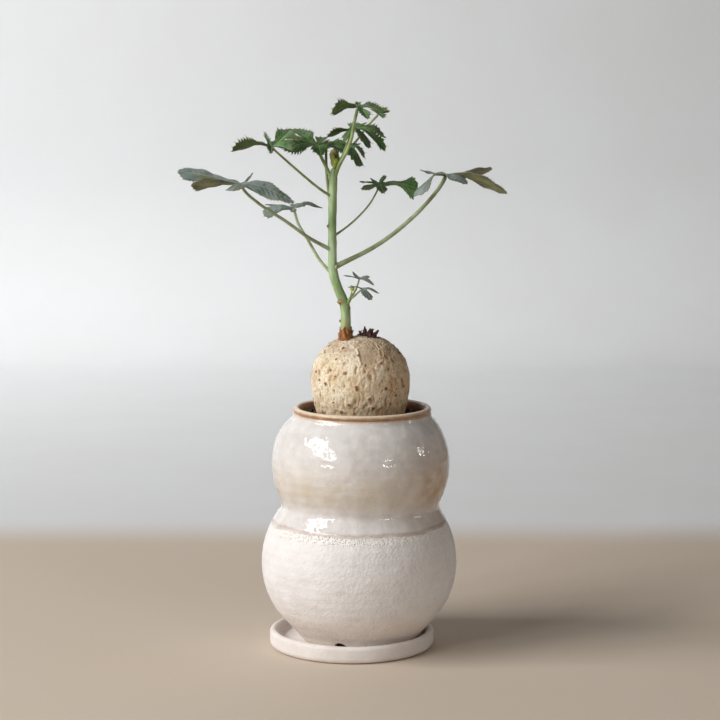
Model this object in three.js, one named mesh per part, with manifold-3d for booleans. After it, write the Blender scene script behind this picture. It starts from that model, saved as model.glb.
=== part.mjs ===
// Potted jatropha: a globe-stemmed succulent in a double-bulb stoneware pot on its saucer.
// Millimetres, +Z up. The origin is the pot's axis at the surface that the saucer stands on.
// +X is the viewer's right and -Y faces the viewer.

import * as THREE from "three";
import { mergeVertices } from "three/addons/utils/BufferGeometryUtils.js";
import Module from "manifold-3d";

const wasm = await Module();
wasm.setup();

const DEG = Math.PI / 180;

// Clearances and thicknesses
const GAP = 0.3; // between pieces that rest on or grow from each other
const BLADE = 0.6; // leaf blade thickness

// Saucer
const SAUCER = {
  x: -4.3, // the pot stands a little off its centre
  radius: 42.4,
  height: 9,
  floor: 4,
  wall: 4,
  corner: 3,
};

// Pot: two flattened globes, one over the other, on a flared foot ring, with a thin rolled lip
const POT = {
  base: SAUCER.floor + GAP,
  footRadius: 29.5,
  footHeight: 3,
  footWall: 5,
  flareTop: 16, // the foot flares straight out to the lower globe up to this height
  floor: 11.5,
  insideFoot: 25.5, // radius of the flat floor inside
  wall: 4.5,
  crease: 5, // how far the crease between the globes is filled
  neckRadius: 35.3,
  cove: 1.5, // how softly the upper globe runs into the neck
  lipRadius: 35.7,
  lipBead: 1.6,
  height: 125,
  mouthRadius: 32,
  lowerX: -0.4, // the handmade pot's lower globe, upper globe and lip stand a little out of line
  upperX: 0.2,
  lipX: 1.1,
  waist: [66, 80], // heights between which the axis steps over from one globe to the other
  neck: [108, 124],
  drainRadius: 7,
  notches: 3,
  notchRadius: 4,
  firstNotchTurn: -108, // degrees from +X, so that one notch faces the viewer
};
const LOWER_GLOBE = { z: 44.5, neck: 20.5, bulge: 29.4, half: 36.8 };
const UPPER_GLOBE = { z: 95.5, neck: 28, bulge: 17.4, half: 26.3 };

// Soil and drain net
const POT_SIDES = 36;
const SOIL_TOP = 119.5;
const NET = { radius: 13, thickness: 0.8, hole: 4, pitch: 6, rows: 3 };

// Caudex: outline radius and height, from the tip of the taproot to the crown
const CAUDEX_X = 0.5;
const CAUDEX_OUTLINE = [
  [0, 50], [3, 60], [5.5, 76], [8.5, 92], [14.5, 106], [20.3, 115.5],
  [22.6, 123], [24.4, 132.5], [24.8, 140.5], [22.9, 148.5], [17.8, 155.2], [10.8, 159.6], [0, 161.8],
];
const CAUDEX_SIDES = 44;
const BURIED_POINTS = 5; // how many of the outline's spans lie under the soil
const BURIED_RINGS = 6;
const CROWN_RINGS = 19;
const RIDGES = 17;

// Stem: centre line and radius, from the crown of the caudex to the shoot tip
const STEM_LINE = [
  [-7.2, -3, 157.5], [-7.3, -3, 164], [-7.7, -3, 177], [-11.6, -2.5, 187], [-13.6, -2, 194],
  [-14.1, -1, 210], [-14.1, 0, 222], [-13.8, 0, 234], [-13.4, 0, 247],
];
const STEM_FOOT_RADIUS = 2.7;
const STEM_TOP_RADIUS = 2.1;

// Peeling bark round the stem's foot: levels of its lower end, its bend and its upper edge
const BARK = { foot: 157, bend: 161.5, top: 165.5, thickness: 1.1 };

const COLOURS = {
  saucer: 0xe9e4de,
  pot: 0xe4ddd3,
  soil: 0x3a2c25,
  net: 0x24262a,
  caudex: 0xc9b48f,
  stump: 0x33201d,
  bark: 0x9a6030,
  stem: 0x9db588,
  stalk: 0x9aa883,
  oldBlade: 0x5c6b62,
  youngBlade: 0x55703f,
  bud: 0x76803f,
};

// Leaves from the lowest to the highest on the stem. A stalk runs from the stem's axis to the
// blade's centre. A lobe is [turn, reach, rise, width, roll, bow, belly]: its heading in degrees
// from +X towards +Y, its length over the ground, the height of its tip above the centre, its
// greatest width, how far its left edge is raised in degrees, how far its midrib bows up, and
// the share of its length at which it is widest. fold is how steeply both halves of a lobe rise
// from the midrib in degrees, and teeth how deep its edge is cut as a share of its width.
const LEAVES = [
  {
    stalk: [[-13.2, -2.1, 192.4], [-20.1, 1.8, 199.5], [-27.1, 5.9, 210.8], [-31.9, 8.7, 218.9],
      [-33.8, 9.8, 226]],
    radius: 0.85,
    fold: -6,
    teeth: 0.12,
    stations: 5,
    lobes: [
      [20, 15, 0, 5, 20, 2.6, 0.27],
      [78, 12, 2, 7, 0, 0.6, 0.55],
      [146, 17.5, 1.6, 8, 0, 0.8, 0.62],
      [192, 16, -2.4, 9, -32, 1, 0.78],
      [258, 4, -1.6, 3.5, 0, 0.2, 0.4],
    ],
  },
  {
    stalk: [[-13.7, -1.9, 196.3], [9.5, 3, 208], [27.2, 6.8, 221.7], [39.9, 9.5, 235.5],
      [44.2, 10.3, 242.8]],
    radius: 1.25,
    fold: -6,
    teeth: 0.1,
    stations: 6,
    lobes: [
      [218, 19, -9.6, 10, 10, 3.4, 0.86],
      [306, 15.5, -3.8, 9, 0, 1, 0.52],
      [0, 31, -9, 9, -35, 2.4, 0.64],
      [40, 31, 1.8, 11.5, -28, 0.6, 0.66],
      [132, 19, 2.2, 3.6, 0, 0, 0.4],
    ],
  },
  {
    stalk: [[-14, -1.3, 205.1], [-25.8, -8.1, 212.1], [-37.1, -14.7, 220.7], [-48.2, -21, 228.4],
      [-55.9, -25.5, 235], [-58.9, -27.2, 239.4]],
    radius: 0.95,
    fold: -6,
    teeth: 0.1,
    stations: 6,
    lobes: [
      [72, 16, 5.4, 1.1, 0, 0, 0.4],
      [122, 17, 2.4, 8, 0, 0.8, 0.55],
      [169, 32, 6.8, 12, -28, 1.8, 0.74],
      [206, 26, 1, 10, 34, 1.2, 0.78],
      [250, 12, -2.2, 10, 0, 1, 0.5],
      [350, 26.5, -8.4, 12.5, 32, 1.6, 0.37],
    ],
  },
  {
    stalk: [[-14.1, -0.9, 211.7], [-3.8, 8.8, 219], [5, 15.7, 228], [10.3, 19.6, 237.6]],
    radius: 0.6,
    fold: -5,
    teeth: 0.14,
    stations: 5,
    lobes: [
      [280, 9, -4, 5.5, 0, 0.4, 0.4],
      [353, 19.5, -2, 12.5, 50, 1.6, 0.86],
      [46, 14, 0.4, 7, 10, 0.6, 0.55],
      [74, 9, 4.4, 3, 0, 0.6, 0.6],
      [128, 7.5, 3, 2, 0, 0, 0.5],
      [170, 10.5, 1.6, 5.5, 0, 0.8, 0.52],
      [198, 10, -2.2, 5.5, -20, 0.6, 0.52],
    ],
  },
  {
    stalk: [[-14.1, -0.2, 219.5], [-15.4, 5, 230], [-17.2, 8.5, 246], [-17.4, 11.8, 257.7]],
    radius: 0.9,
    fold: 8,
    teeth: 0.2,
    stations: 5,
    lobes: [
      [334, 14, -3.8, 6.5, 28, 1, 0.58],
      [22, 11, 1.6, 7.5, 20, 0.6, 0.6],
      [80, 9, 2, 6, 0, 0.4, 0.55],
      [148, 8, 1, 6, 0, 0.4, 0.55],
      [238, 7.5, -3.5, 7, 0, 0.6, 0.55],
    ],
  },
  {
    stalk: [[-13.9, 0, 232], [-21, -4.1, 237], [-31.3, -10, 245.9], [-40.2, -15.2, 254.1],
      [-44.1, -17.4, 258]],
    radius: 0.7,
    fold: 24,
    teeth: 0.24,
    stations: 6,
    lobes: [
      [60, 16.5, 7.6, 12.5, 6, 0.6, 0.6],
      [106, 14, 6.6, 2, 0, 0.4, 0.4],
      [142, 11, 2, 4, 0, 0.3, 0.5],
      [188, 19.5, -2, 10, 34, 1.8, 0.76],
      [270, 7, -3, 4, 0, 0.2, 0.4],
      [320, 13.5, -1.6, 9, 20, 0.8, 0.6],
    ],
  },
  {
    stalk: [[-13.5, 0, 240], [-17.2, 1.2, 247.5], [-20.2, 2.2, 253.5], [-21.8, 2.9, 258]],
    radius: 1,
    fold: 14,
    teeth: 0.22,
    stations: 6,
    lobes: [
      [34, 6.5, 2.4, 6, 0, 0.6, 0.5],
      [70, 9, 4, 8, 0, 0.6, 0.55],
      [128, 21, 8, 13, 0, 1.4, 0.6],
      [160, 19, 4.8, 12, -14, 1.4, 0.6],
      [196, 17.5, -1.6, 14, -40, 1.6, 0.6],
      [285, 8, -4.6, 9, 0, 0.8, 0.5],
    ],
  },
  {
    stalk: [[-13.4, 0, 241], [-10.2, -3, 248.8], [-6.4, -5.8, 256], [-4, -7.9, 263],
      [-2.9, -8.8, 269.4], [-1.2, -10.2, 277.4]],
    radius: 1,
    fold: 22,
    teeth: 0.2,
    stations: 5,
    lobes: [
      [190, 13, -2.6, 9.5, 42, 1.1, 0.7],
      [302, 9.5, -5.6, 6.6, 0, 0.4, 0.62],
      [346, 13, -2.6, 7, 24, 1.4, 0.64],
      [36, 12.5, -0.4, 7, 20, 0.6, 0.66],
      [88, 9, 2.4, 2.4, 0, 0.4, 0.6],
    ],
  },
  {
    stalk: [[-13.4, 0.3, 241.5], [-11.4, 2.4, 247], [-8.9, 3.6, 252.5], [-5.6, 5.2, 261],
      [-3.6, 6, 266]],
    radius: 0.85,
    fold: 16,
    teeth: 0.24,
    stations: 5,
    lobes: [
      [313, 11.5, -9, 9, -10, 2, 0.62],
      [346, 17, -10, 12, 34, 2.8, 0.68],
      [20, 17, -3.4, 12, 30, 1.8, 0.66],
      [64, 10, 2.8, 10, 0, 0.2, 0.6],
      [183, 13, -3.6, 8, 24, 0.5, 0.7],
      [232, 7, -5.8, 5, 0, 1, 0.6],
    ],
  },
  {
    stalk: [[-13.6, 0.2, 240], [-13.4, 4.4, 246.5], [-6.5, 12, 255], [0, 16.5, 262.6],
      [4.5, 18.4, 268.4], [9.5, 19.5, 274]],
    radius: 0.7,
    fold: 20,
    teeth: 0.2,
    stations: 4,
    lobes: [
      [299, 5, -2, 4, 0, 0.3, 0.6],
      [10, 5.5, 1, 5, 0, 0.3, 0.6],
      [62, 7, 3, 4, 0, 0.3, 0.6],
      [122, 5, 2, 4, 0, 0.3, 0.6],
    ],
  },
  {
    stalk: [[-13.3, 0, 244], [-11, 0, 248.5], [-8.4, 0.4, 252.6], [-5.2, 1.2, 257.3]],
    radius: 0.7,
    fold: 10,
    teeth: 0.26,
    stations: 5,
    lobes: [
      [316, 7, -9.6, 10, 0, 1.6, 0.64],
      [0, 7.5, -4.4, 8, 38, 1.6, 0.62],
      [46, 6, 1.6, 5, 0, 0.4, 0.5],
    ],
  },
];

// Side shoot at the lowest node: two small leaves and a bud stalk from one short axis
const SIDE_SHOOT = {
  axis: [[-7.7, -3, 175.5], [-5.6, -4.4, 179.6], [-4.4, -5.2, 182]],
  radius: 0.9,
  leaves: [
    {
      stalk: [[-4.6, -5, 181.4], [-2.3, -5.6, 185.3], [-1, -5.8, 188.7], [-0.4, -6, 191.2]],
      radius: 0.5,
      fold: -4,
      teeth: 0.1,
      stations: 4,
      lobes: [
        [346, 7.5, -3, 3.6, 20, 1, 0.5],
        [36, 6, 1, 4, 10, 0, 0.6],
        [122, 6, 3, 2, 0, 0, 0.5],
        [180, 8, 1.6, 2.4, 0, 0.6, 0.5],
      ],
    },
    {
      stalk: [[-4.8, -5.2, 181], [-2.8, -8.4, 182.6], [-0.8, -10.6, 184.7], [0.9, -12.2, 186.5]],
      radius: 0.5,
      fold: -4,
      teeth: 0.1,
      stations: 4,
      lobes: [
        [308, 7, -5, 6, 0, 0.6, 0.55],
        [6, 8.5, -2.2, 3, 15, 1, 0.5],
        [58, 6, 0, 4, 0, 0.2, 0.5],
        [176, 6.8, 0.8, 2.6, 0, 1, 0.6],
      ],
    },
  ],
  budStalk: [[-5, -5.4, 180.6], [-4.6, -7.2, 182.8], [-4.2, -8.1, 184.6]],
  budStalkRadius: 0.45,
  bud: [[-4.2, -8.3, 184.9], [-4, -8.5, 186.4], [-4.4, -8.7, 188]],
  budRadius: 0.85,
};

// Stubs of fallen leaf stalks on the stem: start, end and radius
const STEM_STUBS = [
  [[-14, 0, 213.5], [-16.6, -1.2, 218.2], 0.75],
  [[-7.9, -3, 174.8], [-4.9, -3.6, 176.2], 0.9],
  [[-7.5, -3, 168.6], [-10.7, -3.4, 169.6], 0.7],
  [[-13, -2.6, 195.6], [-11.2, -4.2, 198.2], 0.7],
];
const LEAF_SCAR = { at: [-9.6, -4.2, 179], radius: 2 };

// Folded young leaves at the stem's end: centre lines from the shoot tip
const YOUNG_LEAVES = [
  [[-12.9, -0.3, 248], [-13.8, -1.2, 250.6], [-14.2, -1.6, 254], [-12.8, -1.8, 256],
    [-11.6, -1.8, 253.6]],
  [[-12.6, -0.2, 248], [-11.8, 0.4, 251], [-11.9, 0.8, 253.6], [-11.4, 0.6, 255.6]],
];
const TIP_BUD = { at: [-12.9, -0.5, 249.2], radii: [1.7, 1.5, 2.4] };

// Dead stem remains on the crown: foot, tip and foot radius
const STUMP_SPIKES = [
  [[2.5, 0, 160.5], [2.6, -0.8, 166.4], 1.9],
  [[4.5, -0.5, 160.5], [5.2, -1.2, 165.2], 2.2],
  [[6, 0.2, 160], [9.6, -0.4, 164.4], 1.9],
  [[1.6, -0.8, 160.8], [-0.6, -1.6, 164], 1.3],
  [[5.5, 1.5, 160.2], [6.5, 3.5, 164.6], 1.6],
];

// Seeded draw, the same at every run
function seededDraw(seed) {
  let state = seed;
  return () => {
    state = (state * 1664525 + 1013904223) % 4294967296;
    return state / 4294967296;
  };
}

function vector(point) {
  return new THREE.Vector3(...point);
}

// Geometry with only positions, its shared vertices joined
function welded(geometry) {
  geometry.deleteAttribute("normal");
  geometry.deleteAttribute("uv");
  return mergeVertices(geometry, 1e-4);
}

function toSolid(geometry) {
  const closed = welded(geometry);
  return new wasm.Manifold(new wasm.Mesh({
    numProp: 3,
    vertProperties: new Float32Array(closed.attributes.position.array),
    triVerts: new Uint32Array(closed.index.array),
  }));
}

function toGeometry(solid) {
  const mesh = solid.getMesh();
  const geometry = new THREE.BufferGeometry();
  geometry.setAttribute("position", new THREE.BufferAttribute(new Float32Array(mesh.vertProperties), 3));
  geometry.setIndex(new THREE.BufferAttribute(new Uint32Array(mesh.triVerts), 1));
  return geometry;
}

function fused(solids) {
  return solids.reduce((whole, next) => whole.add(next));
}

// Body of revolution about the Z axis from [radius, height] points
function turned(points, sides) {
  const outline = points.map(([radius, height]) => new THREE.Vector2(radius, height));
  const geometry = new THREE.LatheGeometry(outline, sides);
  geometry.rotateX(90 * DEG);
  return geometry;
}

// Arc of an outline, from one angle to another
function roundCorner(centre, radius, fromDegrees, toDegrees, steps) {
  const points = [];
  for (let step = 0; step <= steps; step += 1) {
    const angle = (fromDegrees + ((toDegrees - fromDegrees) * step) / steps) * DEG;
    points.push([centre[0] + radius * Math.cos(angle), centre[1] + radius * Math.sin(angle)]);
  }
  return points;
}

// Round rod bent along a curve through the points, its radius a function of the way along it
function bentRod(points, radiusAt, sides, steps, flatten = 1) {
  const curve = new THREE.CatmullRomCurve3(points.map(vector), false, "centripetal");
  const frames = curve.computeFrenetFrames(steps, false);
  const rod = new THREE.CylinderGeometry(1, 1, 1, sides, steps);
  const position = rod.attributes.position;
  for (let i = 0; i < position.count; i += 1) {
    const step = Math.round((position.getY(i) + 0.5) * steps);
    const along = step / steps;
    const radius = radiusAt(along);
    const place = curve.getPointAt(along);
    place.addScaledVector(frames.normals[step], position.getX(i) * radius);
    place.addScaledVector(frames.binormals[step], -position.getZ(i) * radius * flatten);
    position.setXYZ(i, place.x, place.y, place.z);
  }
  return rod;
}

function saucerGeometry() {
  const { radius, height, floor, wall, corner } = SAUCER;
  const lip = wall / 2;
  const inner = radius - wall;
  const points = [
    [0, 0],
    [radius - corner, 0],
    ...roundCorner([radius - corner, corner], corner, -60, 0, 2),
    ...roundCorner([radius - lip, height - lip], lip, 0, 180, 5),
    [inner - 0.3, floor + 1.2],
    [inner - 1.8, floor],
    [0, floor],
  ];
  const geometry = turned(points, POT_SIDES);
  geometry.translate(SAUCER.x, 0, 0);
  return geometry;
}

function globeRadius(globe, z) {
  const level = (z - globe.z) / globe.half;
  return globe.neck + globe.bulge * Math.sqrt(Math.max(0, 1 - level * level));
}

// The larger of two radii, with the corner where they meet filled by half of the given width
function softMax(a, b, width) {
  return (a + b + Math.hypot(a - b, width)) / 2;
}

// Outer radius of the pot between its foot and its lip
function potRadius(z) {
  const level = Math.max(z, POT.flareTop);
  const body = softMax(globeRadius(LOWER_GLOBE, level), globeRadius(UPPER_GLOBE, level), POT.crease);
  if (z < POT.flareTop) {
    return THREE.MathUtils.mapLinear(z, POT.base, POT.flareTop, POT.footRadius, body);
  }
  return z > UPPER_GLOBE.z ? softMax(body, POT.neckRadius, POT.cove) : body;
}

// Sideways place of the pot's axis at a height
function potShift(z) {
  const toUpper = THREE.MathUtils.smoothstep(z, ...POT.waist);
  const toLip = THREE.MathUtils.smoothstep(z, ...POT.neck);
  return POT.lowerX + (POT.upperX - POT.lowerX) * toUpper + (POT.lipX - POT.upperX) * toLip;
}

function shifted(geometry) {
  const position = geometry.attributes.position;
  for (let i = 0; i < position.count; i += 1) {
    position.setX(i, position.getX(i) + potShift(position.getZ(i)));
  }
  return geometry;
}

// Heights at which the pot's wall is drawn, closer together at the waist and the neck
const WALL_LEVELS = [16, 21, 29, 39, 49, 58, 66, 71, 75, 79, 84, 91, 99, 107, 113, 117, 120];
const INSIDE_LEVELS = [21, 32, 46, 59, 68, 74, 82, 96, 108, 116];

function potInsideOutline() {
  const bottom = POT.floor;
  return [
    [POT.insideFoot, bottom],
    [POT.insideFoot + 5, bottom + 2.5],
    ...INSIDE_LEVELS.map((z) => [potRadius(z) - POT.wall, z]),
  ];
}

function potSolid() {
  const { base, footRadius, footHeight, footWall, lipRadius, lipBead, height, mouthRadius } = POT;
  const underside = base + footHeight;
  const outer = WALL_LEVELS.map((z) => [potRadius(z), z]);
  const lip = [
    ...roundCorner([lipRadius - lipBead, height - lipBead], lipBead, -40, 110, 4),
    [mouthRadius + 0.5, height - 0.7],
    [mouthRadius, height - 1.8],
  ];
  const body = turned([
    [0, underside],
    [footRadius - footWall, underside],
    [footRadius - footWall + 0.8, base],
    [footRadius, base],
    ...outer,
    ...lip,
    ...potInsideOutline().reverse(),
    [0, POT.floor],
  ], POT_SIDES);
  let pot = toSolid(shifted(body));
  const drain = new THREE.CylinderGeometry(POT.drainRadius, POT.drainRadius, 20, 20);
  drain.rotateX(90 * DEG);
  drain.translate(POT.lowerX, 0, POT.floor);
  pot = pot.subtract(toSolid(drain));
  for (let i = 0; i < POT.notches; i += 1) {
    const notch = new THREE.CylinderGeometry(POT.notchRadius, POT.notchRadius, 18, 12);
    notch.rotateZ(90 * DEG);
    notch.translate(footRadius + 1, 0, base);
    notch.rotateZ((POT.firstNotchTurn + (360 / POT.notches) * i) * DEG);
    notch.translate(POT.lowerX, 0, 0);
    pot = pot.subtract(toSolid(notch));
  }
  return pot;
}

function soilSolid(caudexRoom) {
  const draw = seededDraw(11);
  const inside = potInsideOutline()
    .filter(([, z]) => z < SOIL_TOP - 2)
    .map(([radius, z]) => [radius - GAP, z]);
  const floor = POT.floor + GAP + NET.thickness + GAP;
  const rim = inside.at(-1)[0] - 1.4;
  const crumbRings = 4;
  const surface = [];
  for (let ring = 0; ring <= crumbRings; ring += 1) {
    surface.push([rim * (1 - ring / (crumbRings + 1)), SOIL_TOP]);
  }
  inside[0] = [inside[0][0], floor];
  const geometry = turned([[0, floor], ...inside, ...surface, [0, SOIL_TOP]], POT_SIDES);
  const closed = welded(geometry);
  const position = closed.attributes.position;
  for (let i = 0; i < position.count; i += 1) {
    const onTop = position.getZ(i) > SOIL_TOP - 0.01;
    if (onTop) {
      position.setZ(i, SOIL_TOP + (draw() - 0.6) * 1.6);
    }
  }
  return toSolid(shifted(closed)).subtract(caudexRoom);
}

function netSolid() {
  const disc = new THREE.CylinderGeometry(NET.radius, NET.radius, NET.thickness, 24);
  disc.rotateX(90 * DEG);
  let net = toSolid(disc);
  const middle = (NET.rows - 1) / 2;
  for (let column = 0; column < NET.rows; column += 1) {
    for (let row = 0; row < NET.rows; row += 1) {
      const x = (column - middle) * NET.pitch;
      const y = (row - middle) * NET.pitch;
      if (Math.hypot(x, y) + NET.hole < NET.radius) {
        const hole = new THREE.BoxGeometry(NET.hole, NET.hole, 4);
        hole.translate(x, y, 0);
        net = net.subtract(toSolid(hole));
      }
    }
  }
  return net.translate([POT.lowerX, 0, POT.floor + GAP + NET.thickness / 2]);
}

// Warts of the caudex's skin: turn, level and height over the skin, drawn once
const WART_COUNT = 46;
const WART_LEVELS = [121, 157];
const WARTS = (() => {
  const draw = seededDraw(5);
  const [lowest, highest] = WART_LEVELS;
  return Array.from({ length: WART_COUNT }, () => ({
    turn: draw() * 360 * DEG,
    z: lowest + draw() * (highest - lowest),
    height: 0.35 + draw() * 0.5,
  }));
})();

// Height of the skin over the smooth outline: slow swellings, wandering ridges and warts
function skinRelief(turn, z, radius) {
  const bare = THREE.MathUtils.smoothstep(z, SOIL_TOP - 1, SOIL_TOP + 6);
  const crown = THREE.MathUtils.smoothstep(radius, 3, 14);
  const swelling = 0.35 * Math.sin(2 * turn + 0.8) + 0.3 * Math.sin(3 * turn + z * 0.06 + 2);
  const wander = 1.1 * Math.sin(z * 0.21 + 3 * Math.sin(turn)) + 0.7 * Math.sin(z * 0.37 + turn * 2);
  const ridge = 0.3 * Math.sin(RIDGES * turn + wander);
  let wart = 0;
  for (const spot of WARTS) {
    const sideways = Math.abs(((turn - spot.turn + 3 * Math.PI) % (2 * Math.PI)) - Math.PI) * radius;
    const away = Math.hypot(sideways, z - spot.z);
    wart += spot.height * Math.exp(-(away * away) / 1.6);
  }
  return bare * crown * (swelling + ridge + wart);
}

// The caudex, or the room that it takes up when it is grown by a clearance all over
function caudexSolid(clearance) {
  const spline = new THREE.SplineCurve(CAUDEX_OUTLINE.map(([radius, z]) => new THREE.Vector2(radius, z)));
  const buried = BURIED_POINTS / (CAUDEX_OUTLINE.length - 1);
  const outline = [];
  for (let ring = 0; ring <= BURIED_RINGS + CROWN_RINGS; ring += 1) {
    const along = ring < BURIED_RINGS
      ? (buried * ring) / BURIED_RINGS
      : buried + ((1 - buried) * (ring - BURIED_RINGS)) / CROWN_RINGS;
    const point = spline.getPoint(along);
    outline.push([Math.max(point.x, 0), point.y]);
  }
  outline[0][0] = 0;
  outline[outline.length - 1][0] = 0;
  const closed = welded(turned(outline, CAUDEX_SIDES));
  const position = closed.attributes.position;
  const middle = 135;
  for (let i = 0; i < position.count; i += 1) {
    const radius = Math.hypot(position.getX(i), position.getY(i));
    const turn = Math.atan2(position.getY(i), position.getX(i));
    const z = position.getZ(i);
    const grown = clearance + skinRelief(turn, z, radius);
    const out = new THREE.Vector2(radius, Math.max(z - middle, Math.min(z - middle, 0) * 0.4)).normalize();
    position.setX(i, (radius + out.x * grown) * Math.cos(turn) + CAUDEX_X);
    position.setY(i, (radius + out.x * grown) * Math.sin(turn));
    position.setZ(i, z + out.y * grown);
  }
  return toSolid(closed);
}

function stumpSolid(caudexRoom) {
  const spikes = STUMP_SPIKES.map(([foot, tip, radius]) => {
    const middle = foot.map((value, axis) => (value + tip[axis]) / 2);
    middle[1] += 0.5;
    return toSolid(bentRod([foot, middle, tip], (along) => radius * (1.02 - along * 0.85), 6, 3));
  });
  return fused(spikes).subtract(caudexRoom);
}

function stemRadius(along) {
  const nodes = 0.14 * Math.max(0, Math.sin(along * 34 + 0.6)) ** 4;
  const tip = 0.9 * THREE.MathUtils.smoothstep(along, 0.93, 1);
  return THREE.MathUtils.lerp(STEM_FOOT_RADIUS, STEM_TOP_RADIUS, Math.min(1, along * 1.6)) + nodes - tip;
}

// The stem, or the room that it takes up when it is grown by a clearance
function stemSolid(clearance) {
  const [x, y, top] = STEM_LINE.at(-1);
  const line = [...STEM_LINE.slice(0, -1), [x, y, top + clearance]];
  return toSolid(bentRod(line, (along) => stemRadius(along) + clearance, 10, 22));
}

function stemWithScars(caudexRoom) {
  const stubs = STEM_STUBS.map(([start, end, radius]) => {
    const middle = start.map((value, axis) => (value + end[axis]) / 2);
    return toSolid(bentRod([start, middle, end], (along) => radius * (1.25 - along * 0.4), 7, 2));
  });
  const scar = new THREE.SphereGeometry(LEAF_SCAR.radius, 8, 6);
  scar.scale(1, 0.8, 1);
  scar.translate(...LEAF_SCAR.at);
  return fused([stemSolid(0), ...stubs, toSolid(scar)]).subtract(caudexRoom);
}

// Ring of peeling bark round the stem's foot, with a ragged upper edge
function barkSolid(caudexRoom, stemRoom) {
  const { x, y } = vector(STEM_LINE[1]);
  const outer = STEM_FOOT_RADIUS + BARK.thickness;
  const outline = [
    [0, BARK.foot],
    [outer + 0.5, BARK.foot],
    [outer + 0.2, BARK.bend],
    [outer - 0.2, BARK.top],
    [0, BARK.top - 0.5],
  ];
  const closed = welded(turned(outline, 16));
  const position = closed.attributes.position;
  for (let i = 0; i < position.count; i += 1) {
    const turn = Math.atan2(position.getY(i), position.getX(i));
    const radius = Math.hypot(position.getX(i), position.getY(i));
    const ragged = position.getZ(i) > BARK.top - 0.3 ? 1.5 * Math.sin(turn * 5) * Math.sin(turn + 1) : 0;
    const flare = radius > 1 ? 1 + 0.09 * Math.sin(turn * 4 + position.getZ(i)) : 1;
    position.setX(i, position.getX(i) * flare + x);
    position.setY(i, position.getY(i) * flare + y);
    position.setZ(i, position.getZ(i) + ragged);
  }
  return toSolid(closed).subtract(stemRoom).subtract(caudexRoom);
}

// One leaf lobe, its numbers by name
function lobeFrom([turn, reach, rise, width, roll, bow, belly], leaf) {
  return { turn: turn * DEG, reach, rise, width, roll: roll * DEG, bow, belly, fold: leaf.fold * DEG };
}

// Height of a lobe's midrib over the blade's centre
function ribHeight(lobe, along) {
  return lobe.rise * along ** 1.4 + lobe.bow * Math.sin(Math.PI * along ** 0.7);
}

// Point of a lobe: the way along its midrib, 0 to 1, and out from it to the right (-) or left (+)
function lobePoint(centre, lobe, along, outward) {
  const lengthwise = new THREE.Vector3(Math.cos(lobe.turn), Math.sin(lobe.turn), 0);
  const sideways = new THREE.Vector3(-lengthwise.y, lengthwise.x, 0);
  const grown = THREE.MathUtils.smoothstep(along, 0, 0.4);
  const tilt = (lobe.roll + lobe.fold * Math.sign(outward)) * grown;
  return centre.clone()
    .addScaledVector(lengthwise, lobe.reach * along)
    .addScaledVector(sideways, outward * Math.cos(tilt))
    .add(new THREE.Vector3(0, 0, ribHeight(lobe, along) + outward * Math.sin(tilt)));
}

// Half width of a lobe along its midrib: narrow at the sinus, widest at its belly, pointed,
// and never past the line halfway to the next lobe
function lobeHalfWidth(lobe, along, halfTurn) {
  const bent = Math.min(1, along ** (Math.log(0.5) / Math.log(lobe.belly)));
  const wanted = (lobe.width / 2) * Math.max(0.16, Math.sin(Math.PI * bent) ** 0.7);
  const room = 0.86 * lobe.reach * along * Math.tan(Math.min(halfTurn, 75 * DEG));
  return Math.min(wanted, room);
}

const SINUS = 0.3; // where neighbouring lobes part, as a share of their reach
const OUTER_HALF_TURN = 38 * DEG; // from a leaf's outermost lobe to the end of its edge

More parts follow.
